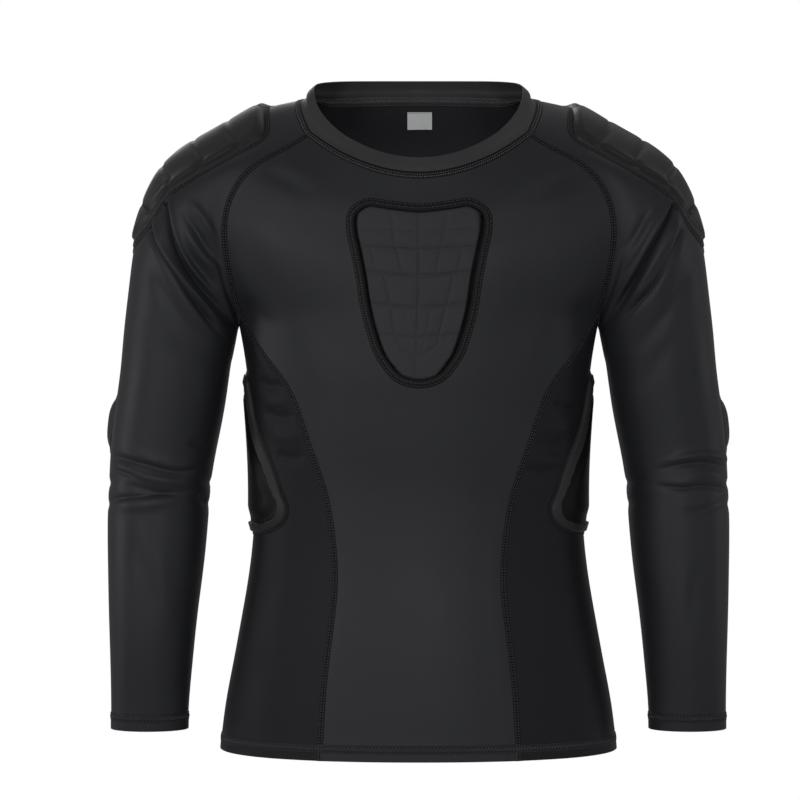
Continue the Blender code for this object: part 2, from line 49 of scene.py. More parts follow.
ROUND = 2.2           # superellipse power of the trunk's sections

FRONT_COLS = 5        # facets from the centre line to the side seam
SIDE_COLS = 4         # facets from the side seam to the side line
YOKE_ROWS = 7         # facets along a raglan seam
NECK_COLS = 4         # facets of the sleeve's own edge at the neck

# Trunk, one row per section below the armpits.
# z, half_width, front depth, back depth, x of the side seam
TRUNK = [
    (-217.8, 148.2, 91.0, 83.5, 132.0),
    (-241.0, 145.1, 89.8, 82.8, 113.6),
    (-265.0, 142.8, 87.5, 81.5, 101.0),
    (-300.0, 140.4, 84.2, 79.1, 89.5),
    (-333.0, 139.3, 81.0, 76.8, 78.0),
    (-370.0, 140.1, 80.3, 76.3, 71.3),
    (-408.0, 144.2, 82.0, 78.0, 68.8),
    (-445.0, 150.5, 85.5, 81.0, 72.2),
    (-482.0, 157.3, 88.5, 84.5, 76.7),
    (-518.0, 163.9, 91.0, 87.0, 79.5),
    (-554.0, 168.1, 93.0, 89.0, 81.0),
]

ARMPIT = (152.5, 0.0, -195.0)

# Raglan seams, from the top of the side seam up to the neck.  x, y, z
RAGLAN_FRONT = [
    (150.0, -28.0, -188.0), (154.3, -45.0, -169.0), (158.4, -57.0, -146.0),
    (161.0, -63.0, -125.0), (159.0, -66.0, -108.0), (152.3, -66.0, -86.0),
    (131.0, -64.0, -61.5), (115.6, -60.0, -54.0), (91.3, -50.0, -37.0),
]
RAGLAN_BACK = [
    (151.0, 28.0, -188.0), (155.0, 52.0, -160.0), (157.0, 66.0, -125.0),
    (152.0, 72.0, -90.0), (135.0, 72.0, -55.0), (105.0, 66.0, -22.0),
    (78.0, 55.0, 2.0),
]
# The sleeve's edge at the neck, front corner to back corner.  x, y, z
NECK_ARC = [(91.3, -50.0, -37.0), (98.0, -28.0, -20.0), (100.5, -5.0, -7.0),
            (96.0, 20.0, -1.0), (88.0, 40.0, 1.0), (78.0, 55.0, 2.0)]

# Centre lines of the front and the back, armpit level up to the neck.  y, z
CENTRE_FRONT = [(-92.0, -195.0), (-93.5, -150.0), (-89.0, -110.0), (-80.0, -73.5)]
CENTRE_BACK = [(84.0, -195.0), (88.0, -150.0), (90.0, -100.0), (84.0, -50.0),
               (74.0, -10.0), (67.0, 5.0)]

# Upper edge of the neckband, centre front to centre back.  x, y, z
COLLAR = [(0.0, -73.5, -60.4), (31.7, -67.0, -54.4), (55.5, -55.0, -42.9),
          (70.8, -42.0, -31.0), (84.6, -20.0, -11.9), (88.8, 4.0, 6.0),
          (84.0, 28.0, 14.0), (68.0, 48.0, 18.0), (40.0, 58.0, 19.5),
          (0.0, 62.0, 20.0)]
COLLAR_BULGE = 0.8    # how far the band rounds out between its edges

# Sleeve, one row per ring, shoulder to cuff.
# outer x, outer z, inner x, inner z, half depth, centre y, share of the raglan loop's shape
SLEEVE = [
    (136.0, -13.5, 152.9, -197.0, 69.0, 3.0, 0.82),
    (176.0, -33.5, 153.4, -199.0, 67.0, 3.0, 0.60),
    (211.0, -57.0, 154.0, -202.0, 63.0, 2.0, 0.35),
    (231.0, -92.0, 154.7, -206.0, 58.0, 1.0, 0.15),
    (241.0, -128.0, 155.6, -211.0, 53.0, 0.0, 0.0),
    (246.0, -165.0, 156.8, -217.0, 49.0, 0.0, 0.0),
    (250.0, -200.0, 158.3, -224.0, 46.0, 0.0, 0.0),
    (253.0, -232.0, 160.0, -232.0, 45.0, 1.0, 0.0),
    (257.2, -262.0, 164.4, -262.0, 44.0, 3.0, 0.0),
    (261.2, -292.0, 170.2, -292.0, 43.0, 5.0, 0.0),
    (263.2, -325.0, 176.2, -325.0, 42.0, 6.0, 0.0),
    (264.4, -360.0, 179.0, -360.0, 40.5, 4.0, 0.0),
    (263.8, -400.0, 182.6, -400.0, 38.0, 1.0, 0.0),
    (262.7, -440.0, 187.5, -440.0, 35.0, -2.0, 0.0),
    (261.3, -480.0, 191.5, -480.0, 31.0, -4.0, 0.0),
    (260.5, -515.0, 194.5, -515.0, 26.5, -5.5, 0.0),
    (260.5, -537.5, 195.1, -537.5, 24.0, -6.0, 0.0),
]

# Window in the front panel, centre top round to centre bottom.  x, z
WINDOW = [(0.0, -105.2), (25.0, -102.6), (41.0, -100.6), (51.3, -106.3),
          (53.7, -113.6), (52.9, -124.2), (50.0, -137.2), (45.6, -160.0),
          (41.5, -186.0), (33.4, -214.5), (26.0, -228.3), (15.5, -239.7),
          (0.0, -243.8)]
WINDOW_POINTS = 36
WINDOW_MIDDLE = (0.0, -166.0)
PAD_CLEAR = 0.6       # chest pad inside the window
RIM_LAP = 0.5         # the rim laps this far over the window's edge
RIM_WIDE = 6.0
RIM_THICK = 1.3

# Rib pad outline round the side line: degrees round the section, z
RIB = [(0.0, -236.0), (8.0, -240.0), (11.5, -252.0), (17.0, -276.0),
       (29.0, -308.0), (36.0, -333.0), (40.0, -349.0), (37.0, -362.0),
       (24.0, -369.5), (0.0, -371.0)]
RIB_MIDDLE = -322.0
RIB_THICK = 6.5

# Elbow pad: middle height, angle of its middle behind the outer side, reach
ELBOW_Z = -280.0
ELBOW_TURN = 42.0
ELBOW_HALF_TALL = 36.0
ELBOW_HALF_WIDE = 48.0   # degrees round the sleeve
ELBOW_THICK = 6.5

# Shoulder pad, one row per station along the top of the sleeve.
# ring (0 = raglan loop, 1 = first row of SLEEVE), half span in sleeve columns
SHOULDER = [(0.86, 0.0), (0.9, 1.3), (1.2, 2.2), (2.0, 3.1), (3.0, 3.4),
            (4.0, 2.9), (4.75, 1.6), (5.08, 0.0)]
SHOULDER_MIDDLE = 3.0
SHOULDER_THICK = 5.0

PAD_AROUND = 24
# pad cross-section from the middle out: share of the outline, share of the thickness
PAD_STEPS = [(0.45, 1.0), (0.88, 0.9), (1.0, 0.22)]

# Label inside the back neck
LABEL_X = 1.6
LABEL_WIDE = 21.6
LABEL_TOP = -6.0
LABEL_TALL = 14.5
LABEL_THICK = 1.0


# ------------------------------------------------------------ small helpers
def V(*c):
    return Vector(c)


def along(ctrl, fractions, closed=False):
    """Points at the given shares of the length of a smooth curve through ctrl."""
    ctrl = [Vector(c) for c in ctrl]
    m = len(ctrl)
    dense = []
    for s in range(m if closed else m - 1):
        p1, p2 = ctrl[s], ctrl[(s + 1) % m]
        p0 = ctrl[s - 1] if (closed or s > 0) else p1 * 2 - p2
        p3 = ctrl[(s + 2) % m] if (closed or s + 2 < m) else p2 * 2 - p1
        for q in range(16):
            t = q / 16.0
            dense.append(0.5 * ((2 * p1) + (p2 - p0) * t
                                + (2 * p0 - 5 * p1 + 4 * p2 - p3) * t * t
                                + (3 * p1 - p0 - 3 * p2 + p3) * t * t * t))
    dense.append(ctrl[0] if closed else ctrl[-1])
    run = [0.0]
    for a, b in zip(dense, dense[1:]):
        run.append(run[-1] + (b - a).length)
    out = []
    i = 0
    for f in fractions:
        want = f * run[-1]
        while i < len(run) - 2 and run[i + 1] < want:
            i += 1
        span = run[i + 1] - run[i]
        t = 0.0 if span == 0 else min(1.0, max(0.0, (want - run[i]) / span))
        out.append(dense[i].lerp(dense[i + 1], t))
    return out


def even(n):
    return [i / n for i in range(n + 1)]


def table_at(rows, key):
    """A row of a table between its rows, by the first column (falling)."""
    key = min(rows[0][0], max(rows[-1][0], key))
    for a, b in zip(rows, rows[1:]):
        if a[0] >= key >= b[0]:
            t = (a[0] - key) / (a[0] - b[0])
            return [p + (q - p) * t for p, q in zip(a, b)]
    return list(rows[-1])


# -------------------------------------------------------- the outer surface
def trunk_row(row):
    """Half a section of the trunk, centre front round to centre back."""
    z, a, front, back, seam = row
    turn = math.acos((seam / a) ** (ROUND / 2))

    def at(t, depth):
        return (a * math.cos(t) ** (2 / ROUND), depth * math.sin(t) ** (2 / ROUND))

    pts = []
    for i in range(FRONT_COLS):
        x = seam * i / FRONT_COLS
        pts.append(V(x, -front * (1 - (x / a) ** ROUND) ** (1 / ROUND), z))
    for i in range(SIDE_COLS):
        x, y = at(turn * (1 - i / SIDE_COLS), front)
        pts.append(V(x, -y, z))
    for i in range(SIDE_COLS):
        x, y = at(turn * i / SIDE_COLS, back)
        pts.append(V(x, y, z))
    for i in range(FRONT_COLS + 1):
        x = seam * (1 - i / FRONT_COLS)
        pts.append(V(x, back * (1 - (x / a) ** ROUND) ** (1 / ROUND), z))
    return pts


def yoke_row(end, mid_y, mid_z):
    """From the centre line out to a point of the raglan seam."""
    reach = end.x / (1 - (end.y / mid_y) ** ROUND) ** (1 / ROUND)
    pts = []
    for i in range(FRONT_COLS + 1):
        x = end.x * i / FRONT_COLS
        pts.append(V(x, mid_y * (1 - (x / reach) ** ROUND) ** (1 / ROUND),
                     mid_z + (end.z - mid_z) * (x / end.x) ** 2))
    pts[-1] = end.copy()
    return pts


def side_top(corner):
    """Top edge of the side panel, armpit to the top of a side seam."""
    pit = Vector(ARMPIT)
    pts = []
    for i in range(SIDE_COLS + 1):
        u = i / SIDE_COLS
        pts.append(V(pit.x + (corner.x - pit.x) * u * u, corner.y * u,
                     pit.z + (corner.z - pit.z) * u * u))
    return pts


def centre(profile, z):
    """y of a centre line at height z."""
    for a, b in zip(profile, profile[1:]):
        if a[1] <= z <= b[1] + 1e-6:
            t = (z - a[1]) / (b[1] - a[1])
            t = t * t * (3 - 2 * t) * 0.3 + t * 0.7
            return a[0] + (b[0] - a[0]) * t
    return profile[-1][0]


def sleeve_ring(row, loop):
    """One ring of the sleeve, from the armpit line forwards and over the top."""
    tx, tz, bx, bz, depth, cy, share = row
    n = len(loop)
    top, low = V(tx, 0, tz), V(bx, 0, bz)
    mid, half = (top + low) / 2, (top - low) / 2
    loop_top, loop_low = loop[n // 2], loop[0]
    up = V(top.x - loop_top.x, 0, top.z - loop_top.z)
    down = V(low.x - loop_low.x, 0, low.z - loop_low.z)
    pts = []
    for j in range(n):
        a = 2 * math.pi * j / n
        round_ = mid - half * math.cos(a) + V(0, cy - depth * math.sin(a), 0)
        k = (1 - math.cos(a)) / 2
        like_loop = loop[j] + down * (1 - k) + up * k
        pts.append(round_ * (1 - share) + like_loop * share)
    return pts


class Surface:
    """Shared points and facets, each facet with the name of its piece."""

    def __init__(self):
        self.points, self.index, self.faces = [], {}, []

    def point(self, p):
        key = (round(p.x, 3), round(p.y, 3), round(p.z, 3))
        if key not in self.index:
            self.index[key] = len(self.points)
            self.points.append(Vector(p))
        return self.index[key]

    def grid(self, rows, piece, turned, ring=False):
        """Facets between rows; piece gives the name for a column."""
        for a, b in zip(rows, rows[1:]):
            n = len(a)
            for c in range(n if ring else n - 1):
                d = (c + 1) % n
                for side in (1, -1):
                    quad = [a[c], a[d], b[d], b[c]]
                    if side < 0:
                        quad = [V(-p.x, p.y, p.z) for p in quad]
                    ids = [self.point(p) for p in quad]
                    if turned == (side > 0):
                        ids.reverse()
                    self.faces.append((ids, piece(c, side)))

    def finish(self):
        """Facets as triangles and one normal for each point."""
        self.tris = []
        self.normals = [Vector() for _ in self.points]
        for ids, name in self.faces:
            a, b, c, d = ids
            p = self.points
            if (p[a] - p[c]).length <= (p[b] - p[d]).length:
                pair = ((a, b, c), (a, c, d))
            else:
                pair = ((b, c, d), (b, d, a))
            for tri in pair:
                n = (p[tri[1]] - p[tri[0]]).cross(p[tri[2]] - p[tri[0]])
                for v in tri:
                    self.normals[v] += n
                self.tris.append((tri, name))
        for n in self.normals:
            n.normalize()


def build_surface():
    s = Surface()
    front = along(RAGLAN_FRONT, even(YOKE_ROWS))
    back = along(RAGLAN_BACK, even(YOKE_ROWS))
    arc = along(NECK_ARC, even(NECK_COLS))
    arc[0], arc[-1] = front[-1], back[-1]

    lo, hi = CENTRE_FRONT[0][1], CENTRE_FRONT[-1][1]
    yoke_front = []
    for k, end in enumerate(front):
        z = lo + (hi - lo) * k / YOKE_ROWS
        yoke_front.append(yoke_row(end, centre(CENTRE_FRONT, z), z))
    lo, hi = CENTRE_BACK[0][1], CENTRE_BACK[-1][1]
    yoke_back = []
    for k, end in enumerate(back):
        z = lo + (hi - lo) * k / YOKE_ROWS
        yoke_back.append(yoke_row(end, centre(CENTRE_BACK, z), z))

    side_front, side_back = side_top(front[0]), side_top(back[0])
    first = (yoke_front[0][:-1] + side_front[::-1][:-1] + side_back[:-1]
             + yoke_back[0][::-1])
    trunk = [first] + [trunk_row(r) for r in TRUNK]

    def trunk_piece(c, side):
        if c < FRONT_COLS:
            return "front_panel"
        if c < FRONT_COLS + 2 * SIDE_COLS:
            return "side_panel_left" if side > 0 else "side_panel_right"
        return "back_panel"

    s.grid(trunk, trunk_piece, True)
    s.grid(yoke_front, lambda c, side: "front_panel", False)
    s.grid(yoke_back, lambda c, side: "back_panel", True)

    loop = (side_front + front[1:] + arc[1:] + back[::-1][1:]
            + side_back[::-1][1:-1])
    rings = [loop] + [sleeve_ring(r, loop) for r in SLEEVE]
    s.grid(rings, lambda c, side: "sleeve_left" if side > 0 else "sleeve_right",
           True, ring=True)

    low = yoke_front[-1] + arc[1:] + yoke_back[-1][::-1][1:]
    run = [0.0]
    for a, b in zip(low, low[1:]):
        run.append(run[-1] + (b - a).length)
    high = along(COLLAR, [r / run[-1] for r in run])
    high[0].x = high[-1].x = 0.0
    between = []
    for a, b in zip(low, high):
        out = V(a.x, a.y, 0).normalized() * COLLAR_BULGE
        if abs(a.x) < 1e-6:
            out.x = 0.0
        between.append((a + b) / 2 + out)
    s.grid([low, between, high], lambda c, side: "neckband", False)
    s.finish()
    return s, rings



class Cloth:
    """The outer surface of some pieces, to place things on."""

    def __init__(self, s, pieces):
        self.s = s
        self.tris = [t for t, piece in s.tris if piece in pieces]
        self.tree = BVHTree.FromPolygons(s.points, self.tris, all_triangles=True)

    def _smooth(self, p, i):
        a, b, c = self.tris[i]
        pa, pb, pc = (self.s.points[v] for v in (a, b, c))
        full = (pb - pa).cross(pc - pa)
        area = full.length_squared
        wa = (pc - pb).cross(p - pb).dot(full) / area
        wb = (pa - pc).cross(p - pc).dot(full) / area
        n = (self.s.normals[a] * wa + self.s.normals[b] * wb
             + self.s.normals[c] * (1 - wa - wb))
        return n.normalized()

    def near(self, p):
        q, _, i, _ = self.tree.find_nearest(p)
        return q, self._smooth(q, i)

    def ahead(self, p, way):
        q, _, i, _ = self.tree.ray_cast(p, way)
        return q, self._smooth(q, i)

    def gap(self, p, n):
        """How far a point is outside the cloth, back along n."""
        q, _, i, dist = self.tree.ray_cast(p + n * 12.0, -n, 40.0)
        return 99.0 if q is None else dist - 12.0


# --------------------------------------------------------- outlines of pads
def both_sides(half):
    """A closed outline from one half, first and last points on the middle."""
    return [V(a, b, 0) for a, b in half] + [V(-a, b, 0) for a, b in half[-2:0:-1]]


def outline(half, n):
    return along(both_sides(half), [k / n for k in range(n)], closed=True)


def moved_outline(pts, by):
    """An outline in x and z moved out by a distance."""
    out = []
    n = len(pts)
    for i, p in enumerate(pts):
        way = pts[(i + 1) % n] - pts[i - 1]
        out.append(p + V(-way.y, way.x, 0).normalized() * by)
    return out


def ordered_outline(n):
    """The window's outline, turning the way that moved_outline moves out."""
    pts = outline(WINDOW, n)
    if sum(a.x * b.y - b.x * a.y for a, b in zip(pts, pts[1:] + pts[:1])) > 0:
        pts.reverse()
    return pts

# =====================================================================
# Camera and the view it gives, used to place folds where they show
# =====================================================================
MM = 0.001
EYE = (-15.7, -2100.0, -259.25)      # mm
SPAN = 680.0                         # mm across the frame at y = 0


def photo(u, v):
    """A place in the 800 x 800 frame, as x and z of the plane y = 0."""
    return ((u - 400.0) * SPAN / 800.0 + EYE[0], EYE[2] + (400.0 - v) * SPAN / 800.0)


def seen(P):
    """Points as x and z of the plane y = 0, seen from the camera."""
    s = -EYE[1] / (P[:, 1] - EYE[1])
    return np.stack([EYE[0] + (P[:, 0] - EYE[0]) * s, EYE[2] + (P[:, 2] - EYE[2]) * s], 1)


camera = bpy.data.objects.new("camera", bpy.data.cameras.new("camera"))
bpy.context.scene.collection.objects.link(camera)
camera.location = Vector(EYE) * MM
camera.rotation_euler = (math.pi / 2, 0, 0)
camera.data.sensor_width = 36.0
camera.data.lens = 36.0 * -EYE[1] / SPAN
camera.data.clip_start = 0.05
camera.data.clip_end = 30.0
bpy.context.scene.camera = camera

PIECES = ["front_panel", "back_panel", "side_panel_left", "side_panel_right",
          "sleeve_left", "sleeve_right", "neckband"]
FINE = 3                              # subdivision of the cage


# =====================================================================
# Fine surface: the cage's limit surface, through the cage's own points
# =====================================================================
def fine_surface(cage):
    names = [name for _, name in cage.faces]
    quads = [ids for ids, _ in cage.faces]
    target = np.array([tuple(p) for p in cage.points])
    me = bpy.data.meshes.new("cage")
    me.from_pydata(target.tolist(), [], quads)
    for name in PIECES:
        me.materials.append(bpy.data.materials.new("cage_" + name))
    me.polygons.foreach_set("material_index", [PIECES.index(n) for n in names])
    ob = bpy.data.objects.new("cage", me)
    bpy.context.scene.collection.objects.link(ob)
    mod = ob.modifiers.new("sub", "SUBSURF")
    mod.use_limit_surface = True
    mod.quality = 3
    mod.boundary_smooth = "ALL"
    now = target.copy()
    for step in range(6):
        mod.levels = mod.render_levels = 1
        me.vertices.foreach_set("co", now.ravel())
        me.update()
        dg = bpy.context.evaluated_depsgraph_get()
        dg.update()
        e = ob.evaluated_get(dg)
        m = e.to_mesh()
        co = np.empty(len(m.vertices) * 3)
        m.vertices.foreach_get("co", co)
        e.to_mesh_clear()
        miss = target - co.reshape(-1, 3)[:len(target)]
        now = now + miss * 0.9
    me.vertices.foreach_set("co", now.ravel())
    mod.levels = mod.render_levels = FINE
    me.update()
    dg = bpy.context.evaluated_depsgraph_get()
    dg.update()
    e = ob.evaluated_get(dg)
    m = e.to_mesh()
    co = np.empty(len(m.vertices) * 3)
    m.vertices.foreach_get("co", co)
    q = np.empty(len(m.loops), dtype=np.int32)
    m.loops.foreach_get("vertex_index", q)
    piece = np.empty(len(m.polygons), dtype=np.int32)
    m.polygons.foreach_get("material_index", piece)
    e.to_mesh_clear()
    mats = list(me.materials)
    bpy.data.objects.remove(ob, do_unlink=True)
    bpy.data.meshes.remove(me)
    for mat in mats:
        bpy.data.materials.remove(mat)
    print("cage miss", float(np.abs(miss).max()), "quads", len(piece))
    return co.reshape(-1, 3), q.reshape(-1, 4), piece


def point_normals(V, Q):
    n = np.cross(V[Q[:, 2]] - V[Q[:, 0]], V[Q[:, 3]] - V[Q[:, 1]])
    out = np.zeros_like(V)
    for k in range(4):
        np.add.at(out, Q[:, k], n)
    return out / np.maximum(np.linalg.norm(out, axis=1), 1e-12)[:, None]


def unit(A):
    return A / np.maximum(np.linalg.norm(A, axis=-1), 1e-12)[..., None]


class Skin:
    """A fine surface to place things on."""

    def __init__(self, V, Q, N):
        self.V, self.N = V, N
        self.T = np.concatenate([Q[:, [0, 1, 2]], Q[:, [0, 2, 3]]])
        self.tree = BVHTree.FromPolygons(V.tolist(), self.T.tolist(), all_triangles=True)

    def _blend(self, P, idx):
        t = self.T[idx]
        a, b, c = self.V[t[:, 0]], self.V[t[:, 1]], self.V[t[:, 2]]
        full = np.cross(b - a, c - a)
        area = np.maximum((full ** 2).sum(1), 1e-12)
        wa = (np.cross(c - b, P - b) * full).sum(1) / area
        wb = (np.cross(a - c, P - c) * full).sum(1) / area
        wa, wb = np.clip(wa, 0, 1), np.clip(wb, 0, 1)
        wc = np.clip(1 - wa - wb, 0, 1)
        n = (self.N[t[:, 0]] * wa[:, None] + self.N[t[:, 1]] * wb[:, None]
             + self.N[t[:, 2]] * wc[:, None])
        return unit(n)

    def near(self, P):
        loc, idx = np.empty((len(P), 3)), np.empty(len(P), dtype=int)
        find = self.tree.find_nearest
        for k, p in enumerate(P.tolist()):
            q, _, i, _ = find(p)
            loc[k] = q
            idx[k] = i
        return loc, self._blend(loc, idx)

    def ahead(self, P, way):
        loc, idx = np.array(P, dtype=float), np.zeros(len(P), dtype=int)
        for k, p in enumerate(P.tolist()):
            q, _, i, _ = self.tree.ray_cast(p, way)
            if q is None:
                q, _, i, _ = self.tree.find_nearest(p)
            loc[k] = q
            idx[k] = i
        return loc, self._blend(loc, idx)


# =====================================================================
# Folds: soft troughs and ridges along short paths
# =====================================================================
def smooth_path(points, n=28):
    c = along([(x, y, 0) for x, y in points], even(n))
    return np.array([(p.x, p.y) for p in c])


def measure(P2, path):
    """Share along a path and signed distance from it, for points in a view."""
    a, b = path[:-1], path[1:]
    d = b - a
    L = np.linalg.norm(d, axis=1)
    run = np.concatenate([[0], np.cumsum(L)])
    best = np.full(len(P2), 1e9)
    t_out, s_out = np.zeros(len(P2)), np.zeros(len(P2))
    for k in range(len(a)):
        r = P2 - a[k]
        t = np.clip((r @ d[k]) / (L[k] ** 2), 0, 1)
        off = r - t[:, None] * d[k]
        dist = np.linalg.norm(off, axis=1)
        side = np.sign(d[k][0] * off[:, 1] - d[k][1] * off[:, 0])
        hit = dist < best
        best[hit] = dist[hit]
        t_out[hit] = ((run[k] + t * L[k]) / run[-1])[hit]
        s_out[hit] = (dist * side)[hit]
    return t_out, s_out, best


def smoothstep(a, b, x):
    t = np.clip((x - a) / (b - a), 0, 1)
    return t * t * (3 - 2 * t)


def view_of(name, V, N):
    if name == "front":
        return seen(V), smoothstep(0.10, 0.35, -N[:, 1])
    if name == "back":
        return V[:, [0, 2]], smoothstep(0.10, 0.35, N[:, 1])
    if name == "outer":                      # sides, seen from outside
        return V[:, [1, 2]], smoothstep(0.15, 0.45, np.abs(N[:, 0]))
    raise ValueError(name)


